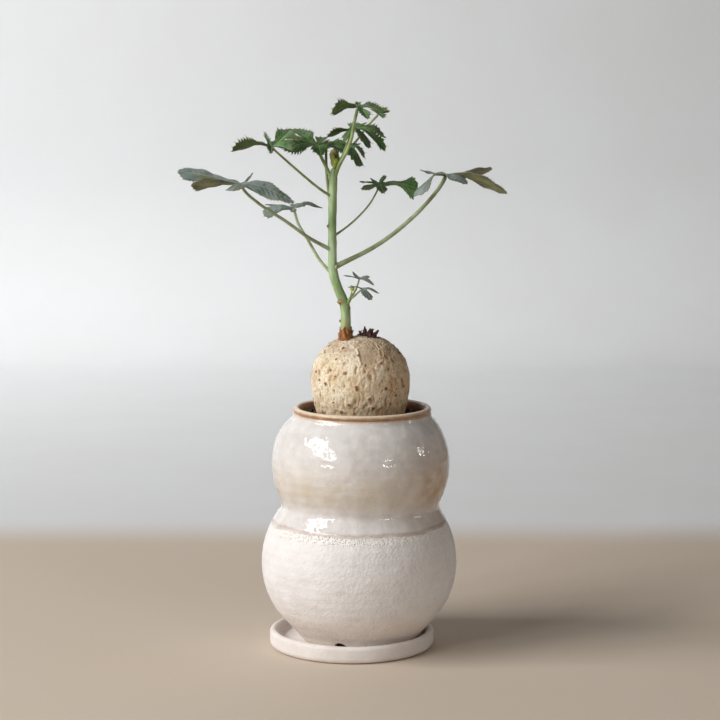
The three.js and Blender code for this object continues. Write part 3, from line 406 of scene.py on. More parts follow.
class Look:
    """A procedural material round one Principled shader. Sizes are in millimetres.

    Light goes through living tissue by a weight, a radius for each of red, green and blue, and a scale.
    """

    def __init__(self, name, tissue=None):
        self.material = bpy.data.materials.new(name)
        self.material.use_nodes = True
        self.tree = self.material.node_tree
        self.shader = self.tree.nodes["Principled BSDF"]
        for label, value in zip(("Weight", "Radius", "Scale"), tissue or ()):
            self.shader.inputs["Subsurface " + label].default_value = value
        inputs = {0: self.node("ShaderNodeTexCoord").outputs["Object"], "Scale": 1 / MM}
        self.place = self.node("ShaderNodeVectorMath", inputs, operation="SCALE").outputs[0]
        self.x, self.y, self.z = self.node("ShaderNodeSeparateXYZ", {0: self.place}).outputs
        self.colour = None

    def node(self, kind, inputs=None, **props):
        made = self.tree.nodes.new(kind)
        for key, value in props.items():
            setattr(made, key, value)
        for key, value in (inputs or {}).items():
            self.feed(made.inputs[key], value)
        return made

    def feed(self, socket, value):
        if isinstance(value, bpy.types.NodeSocket):
            self.tree.links.new(value, socket)
        else:
            socket.default_value = value

    def stretched(self, stretch):
        """The place in the part, with its features made longer along each axis by that much."""
        if not stretch:
            return self.place
        inverse = tuple(1 / each for each in stretch)
        return self.node("ShaderNodeVectorMath", {0: self.place, 1: inverse}, operation="MULTIPLY").outputs[0]

    def noise(self, size, detail=3, stretch=None):
        inputs = {"Vector": self.stretched(stretch), "Scale": 1 / size, "Detail": detail}
        return self.node("ShaderNodeTexNoise", inputs).outputs["Fac"]

    def cells(self, size, feature="F1", output="Distance", stretch=None):
        inputs = {"Vector": self.stretched(stretch), "Scale": 1 / size}
        return self.node("ShaderNodeTexVoronoi", inputs, feature=feature).outputs[output]

    def value_of(self, attribute):
        return self.node("ShaderNodeAttribute", attribute_name=attribute).outputs["Fac"]

    def math(self, operation, a, b=0.0, c=0.0):
        return self.node("ShaderNodeMath", {0: a, 1: b, 2: c}, operation=operation).outputs[0]

    def add(self, *values):
        total = values[0]
        for value in values[1:]:
            total = self.math("ADD", total, value)
        return total

    def times(self, *values):
        total = values[0]
        for value in values[1:]:
            total = self.math("MULTIPLY", total, value)
        return total

    def band(self, value, low, high, to_low=0.0, to_high=1.0):
        """Smooth step of a value from low to high."""
        inputs = {"Value": value, "From Min": low, "From Max": high, "To Min": to_low, "To Max": to_high}
        return self.node("ShaderNodeMapRange", inputs, interpolation_type="SMOOTHSTEP").outputs["Result"]

    def patches(self, size, detail, low, high, to_low=0.0, to_high=1.0, stretch=None):
        """Smooth step of noise of that size."""
        return self.band(self.noise(size, detail, stretch), low, high, to_low, to_high)

    def varied(self, size, detail, spread, low):
        """Noise of that size times the spread, over a lowest value."""
        return self.math("MULTIPLY_ADD", self.noise(size, detail), spread, low)

    def blend(self, share, a, b):
        """Mix of two numbers."""
        return self.node("ShaderNodeMix", {0: share, 2: a, 3: b}, data_type="FLOAT").outputs[0]

    def mix(self, share, *colours):
        """Mix of two colours, each made by other nodes or given by its screen values."""
        made = self.node("ShaderNodeMix", {"Factor": share}, data_type="RGBA")
        for place, colour in zip((6, 7), colours):
            self.feed(made.inputs[place], srgb(colour) if isinstance(colour, tuple) else colour)
        return made.outputs[2]

    def ramp(self, value, *stops):
        """Colour by value: each stop is (position, screen colour)."""
        made = self.node("ShaderNodeValToRGB", {"Fac": value})
        elements = made.color_ramp.elements
        while len(elements) < len(stops):
            elements.new(0.5)
        for element, (position, colour) in zip(elements, stops):
            element.position = position
            element.color = srgb(colour)
        return made.outputs["Color"]

    def paint(self, colour, *shares):
        """Covers the look's colour with another one, by the product of the shares."""
        self.colour = self.mix(self.times(*shares), self.colour, colour)

    def finish(self, roughness, *bumps):
        """Closes the look. Each bump is (height between 0 and 1, its depth in millimetres)."""
        normal = None
        for height, depth in bumps:
            made = self.node("ShaderNodeBump", {"Height": height, "Distance": depth * MM, "Strength": 1.0})
            if normal is not None:
                self.feed(made.inputs["Normal"], normal)
            normal = made.outputs["Normal"]
        if normal is not None:
            self.feed(self.shader.inputs["Normal"], normal)
        self.feed(self.shader.inputs["Base Color"], self.colour)
        self.feed(self.shader.inputs["Roughness"], roughness)
        return self.material


# Pot, saucer, soil

CRUMBS = 330


def globe_radius(globe, z):
    level = (z - globe["z"]) / globe["half"]
    return globe["neck"] + globe["bulge"] * math.sqrt(max(0, 1 - level * level))


def soft_max(a, b, width):
    """The larger of two radii, with the corner where they meet filled by half of the given width."""
    return (a + b + math.hypot(a - b, width)) / 2


def pot_radius(z):
    """Outer radius of the pot between its foot and its lip."""
    level = max(z, POT["flareTop"])
    body = soft_max(globe_radius(LOWER_GLOBE, level), globe_radius(UPPER_GLOBE, level), POT["crease"])
    if z < POT["flareTop"]:
        share = (z - POT["base"]) / (POT["flareTop"] - POT["base"])
        return POT["footRadius"] + (body - POT["footRadius"]) * share
    return soft_max(body, POT["neckRadius"], POT["cove"]) if z > UPPER_GLOBE["z"] else body


def pot_shift(z):
    """Sideways place of the pot's axis at a height."""
    lower, upper, lip = POT["lowerX"], POT["upperX"], POT["lipX"]
    shift = (upper - lower) * smoothstep(z, *POT["waist"])
    return lower + shift + (lip - upper) * smoothstep(z, *POT["neck"])


def pot_inside():
    """Outline of the pot's inside, from its floor up."""
    foot, floor = POT["insideFoot"], POT["floor"]
    wall = [(pot_radius(z) - POT["wall"], z) for z in np.linspace(21, 116, 34)]
    return [(foot, floor), (foot + 5, floor + 2.5), *wall]


def glaze_front(turn):
    """Height at which the glaze ends, which it does in a slow wave round the pot."""
    return 66.2 + 0.7 * math.sin(turn * 2 + 0.6) + 0.35 * math.sin(turn * 7 + 1) + 0.2 * math.sin(turn * 19)


def rod_form(ends, radius, sides):
    return Form(*tube(ends, lambda share: radius, sides))


def pot_form():
    """Thrown pot: uneven by hand, ringed by throwing, thicker where it is glazed, with a cut foot."""
    base, foot, floor = POT["base"], POT["footRadius"], POT["floor"]
    lip, bead, top, mouth = POT["lipRadius"], POT["lipBead"], POT["height"], POT["mouthRadius"]
    underside = base + POT["footHeight"]
    foot_inside = foot - POT["footWall"]
    neck_top = top - 2 * bead
    outline = [
        (0, underside), (foot_inside - 6, underside), (foot_inside, underside),
        (foot_inside + 0.6, base + 0.4), (foot_inside + 1.2, base),
        (foot - 0.8, base), (foot - 0.15, base + 0.25),
        *[(pot_radius(z), z) for z in np.linspace(5.2, neck_top - 0.3, 150)],
        *arc((lip - bead, top - bead), bead, -50, 118, 16),
        (mouth + 0.5, top - 0.7), (mouth + 0.1, top - 1.6), (mouth, top - 3.2),
        *pot_inside()[::-1],
        (0, floor),
    ]
    points, faces = lathe(outline, 224)
    for index, (x, y, z) in enumerate(points):
        radius, turn = math.hypot(x, y), math.atan2(y, x)
        if radius < 12:
            continue
        grown = 0.22 * math.sin(2 * turn + 0.03 * z + 1) + 0.1 * math.sin(3 * turn - 0.05 * z)
        if z < neck_top and radius > pot_radius(z) - 2:
            throwing = 0.05 * math.sin(z * 1.35 + 1.2 * math.sin(turn))
            front = glaze_front(turn)
            grown += throwing + 0.3 * smoothstep(z, front - 0.9, front + 0.5)
        points[index, 0] += grown * math.cos(turn)
        points[index, 1] += grown * math.sin(turn)
    points[:, 0] += pot_shift(points[:, 2])
    middle = POT["lowerX"]
    drain = [(middle, 0, floor + step) for step in (-10, 10)]
    cutters = [rod_form(drain, POT["drainRadius"], 40)]
    for notch in range(POT["notches"]):
        turn = math.radians(POT["firstNotchTurn"] + 360 / POT["notches"] * notch)
        through = (foot - 8, foot + 10)
        ends = [(middle + reach * math.cos(turn), reach * math.sin(turn), base) for reach in through]
        cutters.append(rod_form(ends, POT["notchRadius"], 28))
    return Form(points, faces).joined("DIFFERENCE", cutters)


def saucer_form():
    """Dish with rounded edges, a little out of round and uneven along its lip."""
    radius, height, floor, corner = (SAUCER[key] for key in ("radius", "height", "floor", "corner"))
    lip = SAUCER["wall"] / 2
    inner = radius - SAUCER["wall"]
    outline = [
        (0, 0), (12, 0), (24, 0), (radius - corner - 3, 0), (radius - corner + 0.6, 0),
        *arc((radius - corner, corner), corner, -75, 0, 7),
        (radius, (height - lip + corner) / 2),
        *arc((radius - lip, height - lip), lip, 0, 180, 14),
        (inner - 0.15, floor + 2), (inner - 0.6, floor + 0.9), (inner - 1.6, floor + 0.2),
        (inner - 3.2, floor), (24, floor), (12, floor), (0, floor),
    ]
    points, faces = lathe(outline, 192)
    for index, (x, y, z) in enumerate(points):
        turn, out = math.atan2(y, x), math.hypot(x, y) / radius
        points[index, 0] *= 1 + 0.003 * out * math.sin(2 * turn + 1)
        points[index, 1] *= 1 + 0.003 * out * math.sin(3 * turn)
        if z > floor + 1.5:
            points[index, 2] += 0.18 * math.sin(2 * turn + 0.4) + 0.1 * math.sin(5 * turn)
    points[:, 0] += SAUCER["x"]
    return Form(points, faces)


def ceramic_look():
    """Stoneware: pebbly matt slip below, gloss glaze with iron specks above, a bare tan lip, with painted
    shade browning the glaze on its right and a painted highlight along the lip's top edge.
    """
    look = Look("stoneware")
    drift = look.varied(14, 2, 2.6, -1.3)
    level = look.add(look.z, drift, look.varied(1.6, 2, 0.7, -0.35))
    glazed = look.band(level, 65.4, 66.6)

    look.colour = look.ramp(look.noise(9, 4), (0.3, (228, 223, 222)), (0.7, (237, 234, 234)))
    look.paint((226, 210, 192), look.band(look.z, 30, 8), 0.5)
    look.paint((186, 168, 156), look.band(look.cells(1.5), 0.16, 0.04), 0.3)
    slip = look.colour

    look.colour = look.ramp(look.noise(7, 4), (0.3, (212, 206, 203)), (0.7, (230, 227, 225)))
    warm = look.times(look.band(look.z, 75, 84), look.band(look.z, 106, 86))
    # right: painted shade, browning the glaze towards the right, the side away from the light
    right = look.band(look.x, 12, 46)
    look.paint((208, 194, 172), warm, look.patches(9, 3, 0.1, 0.7, stretch=(1.6, 1.6, 1)), 0.75)
    look.paint((182, 134, 88), warm, right, look.patches(8, 3, 0.35, 0.6), 0.75)
    look.paint((196, 166, 138), right, look.band(look.z, 118, 96), 0.35)
    look.colour = look.mix(glazed, slip, look.colour)

    beads = look.times(look.band(look.z, 60.5, 62.5), look.band(level, 65.6, 65.0))
    look.paint((246, 243, 238), beads, 0.7)
    # the glaze edge's own iron brown, painted darker towards the right as painted shade
    rust_and_shade = look.mix(right, (182, 152, 136), (138, 98, 70))
    thin = look.times(look.band(level, 64.4, 65.6), look.band(level, 67.8, 66.2))
    look.paint(rust_and_shade, thin, look.patches(8, 3, 0.2, 0.62, 0.25, 1.0), 0.5)
    some = look.times(look.band(look.cells(2.3, output="Color"), 0.45, 0.5), look.blend(warm, 0.5, 1.0))
    look.paint((140, 104, 74), look.band(look.cells(2.3), 0.15, 0.06), some, 0.8)
    below = look.colour

    neck = look.band(look.add(look.z, look.times(drift, 0.15)), 120.6, 122.4)
    look.colour = look.ramp(look.noise(3, 4), (0.35, (190, 158, 128)), (0.65, (212, 186, 158)))
    # paler cream along the lip's top edge: partly the bare clay's own colour, partly a painted highlight
    look.paint((228, 212, 188), look.band(look.z, 123.9, 124.7))
    iron = look.times(look.band(look.z, 121.9, 122.6), look.band(look.z, 124.1, 123.3))
    look.paint((142, 100, 68), iron, look.patches(5, 3, 0.3, 0.6, 0.5, 0.95), 0.85)
    look.colour = look.mix(neck, below, look.colour)

    off_axis = (look.math("SUBTRACT", look.x, POT["lipX"]), look.y)
    radius = look.math("SQRT", look.add(*[look.math("POWER", place, 2) for place in off_axis]))
    inside = look.times(look.band(radius, 32.9, 32.3), look.band(look.z, 60, 70))
    look.paint(look.ramp(look.noise(4, 4), (0.3, (150, 112, 92)), (0.7, (178, 140, 118))), inside)

    rough = look.blend(glazed, look.varied(3, 3, 0.1, 0.62), look.varied(5, 3, 0.08, 0.03))
    rough = look.blend(inside, look.blend(neck, rough, 0.3), 0.6)
    pebbles = look.blend(glazed, look.cells(1.25, feature="SMOOTH_F1"), 0.35)
    grain = look.blend(glazed, look.noise(0.7, 2), 0.5)
    dimples = look.math("MULTIPLY", look.noise(2.2, 2), glazed)
    bead_height = look.times(beads, look.band(look.cells(0.9), 0.45, 0.15))
    return look.finish(rough, (pebbles, 0.2), (grain, 0.05), (look.noise(7, 2), 0.55), (dimples, 0.09),
                       (bead_height, 0.4))


def saucer_look():
    """Matt warm white slip with a fine grain and faint warm clouds."""
    look = Look("matt_slip")
    look.colour = look.ramp(look.noise(11, 4), (0.3, (222, 214, 209)), (0.7, (234, 228, 225)))
    look.paint((178, 158, 140), look.band(look.cells(1.8), 0.14, 0.04), 0.3)
    look.paint((214, 192, 165), look.band(look.z, 8.2, 8.9), look.patches(6, 3, 0.4, 0.7), 0.35)
    look.paint((196, 172, 146), look.band(look.z, 0.9, 0.1))
    pebbles = look.cells(1.1, feature="SMOOTH_F1")
    return look.finish(look.varied(3, 3, 0.1, 0.66), (pebbles, 0.12), (look.noise(0.6, 2), 0.05),
                       (look.noise(9, 2), 0.3))


def rumble(point, size, depth):
    """Fractal noise about 0 at a point, its largest lumps about that size."""
    return noise.fractal(Vector(point) / size, 1.0, 2.0, depth)


def soil_form():
    """Potting mix: a crumbly top round the caudex, and a body that fills the pot."""
    draw = random.Random(11)
    sides = 150
    floor = POT["floor"] + 2 * GAP + NET_THICKNESS
    inside = [(radius - GAP, z) for radius, z in pot_inside() if z < SOIL_TOP - 2]
    inside[0] = (inside[0][0], floor)
    rim = inside[-1][0] - 0.9
    caudex = [spline_point(CAUDEX_OUTLINE, share) for share in np.linspace(0, 0.55, 34)]
    buried = [(max(radius, 0) + GAP, z - 0.3) for radius, z in caudex if z < SOIL_TOP - 0.5]
    buried[0] = (0, buried[0][1])
    hole = buried[-1][0]
    surface = [(radius, SOIL_TOP) for radius in np.linspace(rim, hole, 16)]
    points, faces = lathe([(0, floor), *inside, *surface, *buried[::-1]], sides)
    own = 1 + sides * (len(inside) + len(surface))
    for index, (x, y, z) in enumerate(points):
        points[index, 0] += pot_shift(z) if index < own else CAUDEX_X
        if z > SOIL_TOP - 0.01:
            points[index, 2] += 1.5 * rumble((x, y, 3), 5, 3) + 0.7 * rumble((x, y, 9), 1.6, 2) - 0.25
    form = Form(points, faces, tone=0.2)
    for _ in range(CRUMBS):
        turn = draw.uniform(0, FULL_TURN)
        radius = draw.uniform(hole + 0.9, rim - 0.7)
        size = draw.choice((0.5, 0.7, 0.9, 1.2))
        at = (radius * math.cos(turn) + 1.2, radius * math.sin(turn), SOIL_TOP + draw.uniform(-0.2, 0.5))
        crumb = pebble(at, size, draw)
        form.add(*crumb, tone=draw.random())
    return form


def soil_look():
    """Dark moist crumbs with reddish clay and pale grit among them."""
    look = Look("potting_mix")
    look.colour = look.ramp(look.value_of("tone"), (0.0, (48, 34, 29)), (0.55, (78, 52, 42)),
                            (0.8, (112, 76, 58)), (1.0, (134, 112, 94)))
    look.paint((36, 26, 23), look.patches(1.2, 4, 0.4, 0.7))
    return look.finish(look.varied(2, 3, 0.25, 0.65), (look.noise(0.8, 4), 0.3), (look.cells(0.5), 0.12))


def net_look():
    """Black moulded mesh, dusty with clay."""
    look = Look("drain_mesh")
    look.colour = look.mix(look.patches(3, 4, 0.45, 0.75), (34, 36, 40), (92, 76, 64))
    return look.finish(look.varied(2, 2, 0.2, 0.4), (look.noise(1, 2), 0.05))


# Caudex, old stump, stem, bark

# Warts that the photograph shows: turn in degrees and height
FRONT_WARTS = [
    (-155, 144), (-145, 124), (-135, 139), (-130, 146), (-115, 125), (-110, 145), (-105, 129), (-95, 137),
    (-85, 149), (-80, 132), (-75, 127), (-60, 137), (-45, 133), (-30, 137), (0, 127), (5, 149), (10, 142),
    (180, 141),
]
WARTS = 130
SCAR_TURN, SCAR_HEIGHT = math.radians(-82), 154.2
SWELLS_FROM = 135  # height of the middle that the relief of the caudex grows away from
STUMP_TOP = 166.6


def all_warts():
    """Turn in radians, height, size and relief of each wart: those at the front, and drawn ones elsewhere."""
    draw = random.Random(5)
    warts = [(turn, z, draw.uniform(0.7, 1.05), draw.uniform(0.5, 0.8)) for turn, z in FRONT_WARTS]
    while len(warts) < WARTS:
        turn, z = draw.uniform(-180, 180), draw.uniform(120.5, 157)
        behind = not -165 < turn < -15
        if behind or draw.random() < 0.35:
            warts.append((turn, z, draw.uniform(0.4, 0.95), draw.uniform(0.35, 0.75)))
    return [(math.radians(turn), z, size, height) for turn, z, size, height in warts]


def skin_at(point):
    """Wandering upright wrinkles and shallow pores at a point of the caudex."""
    x, y, z = point
    around = Vector((x, y, z * 0.24)) + 1.3 * noise.noise_vector(Vector((x * 0.12, y * 0.12, z * 0.16)))
    ridge = 1 - abs(noise.noise(around / 1.55)) * 2.4
    finer = 1 - abs(noise.noise(around / 0.8 + Vector((7, 3, 1)))) * 2
    return 0.62 * ridge + 0.3 * finer, noise.noise(Vector(point) / 3.2)


def caudex_form():
    """The swollen base with its taproot: wandering wrinkles, warts and an old shield-shaped scar."""
    sides, crown_rings, buried_rings = 300, 250, 40
    soil_share = 5 / 12
    shares = np.concatenate([np.linspace(0, soil_share, buried_rings, endpoint=False),
                             np.linspace(soil_share, 1, crown_rings + 1)])
    outline = [spline_point(CAUDEX_OUTLINE, share) for share in shares]
    outline = [(max(radius, 0.0), z) for radius, z in outline]
    points, faces = lathe(outline, sides)
    radius = np.hypot(points[:, 0], points[:, 1])
    turn = np.arctan2(points[:, 1], points[:, 0])
    z = points[:, 2]
    bare = smoothstep(z, SOIL_TOP - 3, SOIL_TOP + 5)
    crown = smoothstep(radius, 3, 14)
    swelling = 0.35 * np.sin(2 * turn + 0.8) + 0.3 * np.sin(3 * turn + z * 0.06 + 2)
    skin = [skin_at(point) if share >= 0.01 else (0, 0) for point, share in zip(points, bare)]
    wrinkle, pores = np.array(skin).T

    wart_height = np.zeros(len(points))
    wart_stain = np.zeros(len(points))
    for wart_turn, wart_z, size, height in all_warts():
        sideways = np.abs(from_turn(turn, wart_turn)) * radius
        away = np.hypot(sideways, z - wart_z) / size
        crater = 0.55 * np.exp(-away ** 2 * 9)
        wart_height += height * (np.exp(-away ** 2 * 1.2) - crater)
        wart_stain = np.maximum(wart_stain, np.exp(-(away / 0.95) ** 4) * (1 - 0.3 * crater))

    # the scar left of the crown's middle: a smooth hollow with a peeling left edge
    across = from_turn(turn, SCAR_TURN) * radius
    down = z - SCAR_HEIGHT
    edge = across + 3.6 + 0.036 * down ** 2 * np.sign(down)
    ends = smoothstep(down, -6.2, -3.4) * smoothstep(down, 3.6, 1.6)
    hollow = smoothstep(edge, -0.25, 0.5) * smoothstep(across, 7.6, 3.4) * ends
    curl = np.exp(-((edge + 0.5) / 0.4) ** 2) * smoothstep(down, -6.4, -4.8) * smoothstep(down, 3.4, 1.4)
    relief = (0.5 * (wrinkle - 0.45) + 0.3 * pores) * (1 - 0.75 * hollow) - 0.45 * hollow + 0.5 * curl

    grown = bare * crown * (swelling + relief + wart_height) + bare * (1 - crown) * 0.35 * relief
    above = z - SWELLS_FROM
    rise = np.maximum(above, np.minimum(above, 0) * 0.4)
    length = np.hypot(radius, rise) + 1e-9
    points[:, 0] += radius / length * grown * np.cos(turn) + CAUDEX_X
    points[:, 1] += radius / length * grown * np.sin(turn)
    points[:, 2] += rise / length * grown
    # groove is high in the wrinkles' hollows; the look paints it tan, partly as painted shade in the creases
    groove = 0.5 - 0.5 * np.clip(wrinkle * 1.4 - 0.35, -1, 1)
    return Form(points, faces, groove=groove, wart=wart_stain * bare, scar=hollow * bare, curl=curl * bare)


def caudex_look():
    """Corky cream skin: paler ridges and tan grooves, partly painted light and shade, red-brown warts and a
    pinkish grey scar, with painted light on its left and painted shade on its right.
    """
    look = Look("caudex_skin")
    groove = look.value_of("groove")
    look.colour = look.ramp(look.noise(10, 4), (0.3, (216, 197, 160)), (0.5, (236, 222, 193)),
                            (0.7, (247, 239, 219)))
    look.paint((186, 146, 104), look.patches(6, 4, 0.52, 0.72, stretch=(1, 1, 1.8)), 0.6)
    look.paint((182, 182, 144), look.patches(12, 3, 0.55, 0.75), 0.25)
    # browner towards the right: painted shade on the side away from the light
    look.paint((190, 154, 112), look.band(look.x, -14, 20), look.patches(5, 4, 0.3, 0.6, 0.35, 1.0), 0.5)
    blotches = look.band(look.cells(8.5, stretch=(1, 1, 1.3)), 0.34, 0.2)
    look.paint((190, 144, 90), blotches, look.band(look.z, 150, 140), look.patches(2.4, 3, 0.35, 0.6), 0.85)
    # paler cream towards the left: painted light on the lit side
    look.paint((246, 239, 214), look.band(look.x, -6, -22), look.patches(7, 3, 0.3, 0.65), 0.6)
    look.paint((182, 150, 112), look.band(look.z, 134, 120), look.patches(5, 3, 0.3, 0.6, 0.4, 0.9), 0.7)
    look.paint((172, 132, 94), look.patches(1.1, 4, 0.45, 0.66), 0.5)
    # tan grooves and paler ridges: partly the cork's own colour, partly painted shade in the grooves and
    # painted light on the ridges
    look.paint((150, 108, 66), look.band(groove, 0.42, 0.9), 0.85)
    look.paint((240, 230, 208), look.band(groove, 0.35, 0.0), 0.5)
    look.paint((178, 154, 134), look.band(look.z, 149, 158), look.patches(4, 3, 0.35, 0.6), 0.65)
    look.paint((184, 162, 136), look.value_of("scar"), 0.75)
    look.paint((244, 232, 208), look.value_of("curl"), 0.8)
    wart = look.times(look.value_of("wart"), look.patches(1.1, 3, 0.3, 0.55, 0.6, 1.0))
    look.paint((182, 130, 96), look.band(wart, 0.02, 0.45), 0.6)
    spots = look.ramp(look.noise(5, 2), (0.4, (110, 54, 40)), (0.6, (140, 86, 62)))
    look.paint(spots, look.band(wart, 0.22, 0.8), 0.92)
    look.paint((128, 76, 52), look.band(look.cells(2.1), 0.22, 0.1), look.patches(7, 2, 0.42, 0.58), 0.7)
    fibres = look.noise(0.9, 4, stretch=(1, 1, 4))
    look.paint((160, 132, 98), look.band(fibres, 0.5, 0.75), 0.3)
    look.paint((120, 88, 62), look.band(look.z, 120.5, 118))
    return look.finish(look.varied(4, 3, 0.2, 0.62), (fibres, 0.3), (look.noise(0.45, 3), 0.1),
                       (look.noise(1.6, 3), 0.25))


def caudex_top(x, y):
    """Height of the caudex's smooth outline over a place near its crown."""
    away = math.hypot(x - CAUDEX_X, y)
    outline = [spline_point(CAUDEX_OUTLINE, share) for share in np.linspace(0.75, 1, 60)[::-1]]
    return float(np.interp(away, [max(radius, 0) for radius, _ in outline], [z for _, z in outline]))


def stump_form():
    """Dead stem remains: torn, shrunken, splintered bases grown together at the crown."""
    form = Form()
    draw = random.Random(3)
    for foot, tip, radius in STUMP_SPIKES:
        foot, tip = np.array(foot, float), np.array(tip, float)
        middle = (foot + tip) / 2 + (0, 0.5, 0)
        line = curve_points([foot - (0, 0, 0.4), middle, tip], 22)
        phase = draw.uniform(0, 6)
        form.add(*tube(line, tapered(radius, 1.02, 0.9), 18,
                       lambda share, turn, p=phase: 0.22 * math.sin(turn * 4 + p + share * 3)))
        for _ in range(4):
            start = foot + (tip - foot) * draw.uniform(0.45, 0.85)
            lean = np.array([draw.uniform(-1.1, 1.1), draw.uniform(-1, 0.6), draw.uniform(0.6, 1.5)])
            end = start + lean * 1.1
            end[2] = min(end[2], STUMP_TOP)
            line = curve_points([start, (start + end) / 2 + (0.2, 0, 0), end], 8)
            form.add(*tube(line, tapered(0.42, 1, 0.7), 8))
    for turn in np.linspace(0, FULL_TURN, 11, endpoint=False):
        reach = 3.6 + 1.5 * math.sin(turn * 3)
        x, y = 5 + reach * 1.25 * math.cos(turn), 0.3 + reach * math.sin(turn) * 0.9
        form.add(*pebble((x, y, caudex_top(x, y) + 0.12), 0.95, draw))
    form = form.grown_together(0.24)
    places = [Vector(point) for point in form.points]
    form.points = [place + (noise.noise_vector(place / 0.8) * 0.16 + noise.noise_vector(place / 2.1) * 0.2)
                   for place in places]
    return form


def stump_look():
    """Blackened, dry, fibrous tissue with dark red in its depths."""
    look = Look("dead_wood")
    fibres = look.noise(0.8, 4, stretch=(1, 1, 3))
    look.colour = look.ramp(fibres, (0.3, (34, 20, 22)), (0.55, (72, 42, 38)), (0.75, (128, 92, 74)))
    look.paint((98, 44, 42), look.patches(2.6, 3, 0.5, 0.7), 0.7)
    return look.finish(look.varied(1.5, 3, 0.25, 0.6), (fibres, 0.25), (look.noise(0.3, 2), 0.08))


def stem_radius(share):
    """Thickest at its foot, with slight rings where leaves grew."""
    nodes = 0.14 * max(0, math.sin(share * 34 + 0.6)) ** 4
    tip = 0.9 * float(smoothstep(share, 0.93, 1))
    return 2.7 + (2.1 - 2.7) * min(1, share * 1.6) + nodes - tip


def stem_ribs(share, turn):
    return 0.05 * math.sin(turn * 5 + share * 7) + 0.07 * noise.noise(Vector((share * 40, turn * 1.5, 0)))


def stub_ribs(share, turn):
    return 0.06 * math.sin(turn * 3 + share * 9)


def stem_form():
    """The living stem with faint ribs, its scars and the stubs of fallen leaf stalks."""
    form = Form(*tube(curve_points(STEM_LINE, 230), rounded(stem_radius, 0.004, 0.012), 40, stem_ribs))
    knobs = []
    for start, end, radius in STEM_STUBS:
        line = curve_points([start, (np.array(start, float) + end) / 2, end], 16)
        knobs.append(Form(*tube(line, rounded(tapered(radius, 1.3, 0.45), 0.05, 0.12), 16, stub_ribs)))
    ball, ball_faces = pebble((0, 0, 0), 1.0, random.Random(2))
    knobs.append(Form(np.array(ball) * (1.9, 1.5, 2.1) + LEAF_SCAR["at"], ball_faces))
    form = form.joined("UNION", knobs)
    spots = [(place, radius * 2.6) for start, end, radius in STEM_STUBS for place in (start, end)]
    spots.append((LEAF_SCAR["at"], LEAF_SCAR["radius"] * 1.5))
    form.values["brown"] = [
        min(1, max(0, 1.6 * max(1 - math.dist(point, place) / reach for place, reach in spots)))
        for point in form.points]
    return form


def stem_look():
    """Waxy grey-green bark with a chalky bloom, olive where it is rubbed, brown at scars, and painted shade
    browning its right side low down.
    """
    look = Look("green_stem", (0.12, (0.8, 1.0, 0.4), 0.0008))
    bloom = look.noise(7, 4, stretch=(1, 1, 2.5))
    look.colour = look.ramp(bloom, (0.3, (128, 156, 102)), (0.5, (164, 192, 138)), (0.7, (196, 218, 180)))
    streaks = look.noise(1.4, 3, stretch=(1, 1, 7))
    look.paint((112, 124, 74), look.band(streaks, 0.5, 0.7), 0.4)
    # browner on the right of the stem's lower part: painted shade
    look.paint((140, 116, 74), look.band(look.x, -11, -6.5), look.band(look.z, 178, 168), 0.3)
    look.paint((172, 150, 92), look.band(look.z, 172, 163), look.patches(3, 3, 0.3, 0.6), 0.6)
    corky = look.ramp(look.noise(1.2, 3), (0.35, (110, 82, 50)), (0.65, (164, 138, 88)))
    look.paint(corky, look.band(look.value_of("brown"), 0.3, 0.85))
    look.paint((190, 192, 150), look.band(look.cells(1.9, stretch=(1, 1, 1.4)), 0.16, 0.08), 0.5)
    pimples = look.band(look.cells(1.9), 0.2, 0.05)
    return look.finish(look.varied(3, 3, 0.2, 0.4), (streaks, 0.08), (look.noise(0.7, 3), 0.04),
                       (pimples, 0.08))


def bark_form():
    """Papery bark round the stem's foot: three ragged layers, the outer ones peeling away."""
    form = Form()
    x, y, _ = STEM_LINE[1]
    sides, rings, foot = 72, 16, 156.6
    layers = [(3.05, 0.35, 165.3), (3.42, 0.3, 163.6), (3.78, 0.25, 161.6)]
    for layer, (radius, thickness, tops) in enumerate(layers):
        outer, inner = [], []
        for ring in range(rings + 1):
            share = ring / rings
            for side in range(sides):
                turn = FULL_TURN * side / sides
                torn = 1.1 * math.sin(turn * 3 + layer * 2)
                torn += 0.8 * noise.noise(Vector((turn * 2.5, layer * 5, 0)))
                torn += 0.5 * noise.noise(Vector((turn * 9, layer * 5, 3)))
                z = foot + (tops + torn - foot) * share
                peel = 0.55 * share ** 3 * max(0, math.sin(turn * 2 + layer * 1.7))
                reach = radius + peel + 0.1 * math.sin(turn * 6 + z) + 0.5 * (1 - share) ** 2
                for row, away in ((outer, reach), (inner, reach - thickness)):
                    row.append((x + away * math.cos(turn), y + away * math.sin(turn), z))
        count, top = len(outer), rings * sides
        faces = grid_faces(rings + 1, sides, closed=True)
        faces += grid_faces(rings + 1, sides, closed=True, flip=True, start=count)
        for side in range(sides):
            after = (side + 1) % sides
            faces.append((top + side, top + after, count + top + after, count + top + side))
            faces.append((after, side, count + side, count + after))
        form.add(outer + inner, faces, tone=layer / 2)
    return form


def bark_look():
    """Thin orange-brown peel with dark cracks and pale torn edges, darker on its right as painted shade."""
    look = Look("papery_bark")
    fibres = look.noise(1.0, 4, stretch=(1, 1, 4))
    look.colour = look.ramp(fibres, (0.3, (94, 52, 26)), (0.5, (150, 92, 44)), (0.72, (196, 146, 82)))
    look.paint((112, 64, 34), look.patches(3, 3, 0.5, 0.75))
    # darker towards the right: painted shade
    look.paint((88, 48, 28), look.band(look.x, -7, -4.5), 0.5)
    return look.finish(look.varied(2, 3, 0.2, 0.55), (fibres, 0.15), (look.noise(0.4, 2), 0.05))


# Leaves

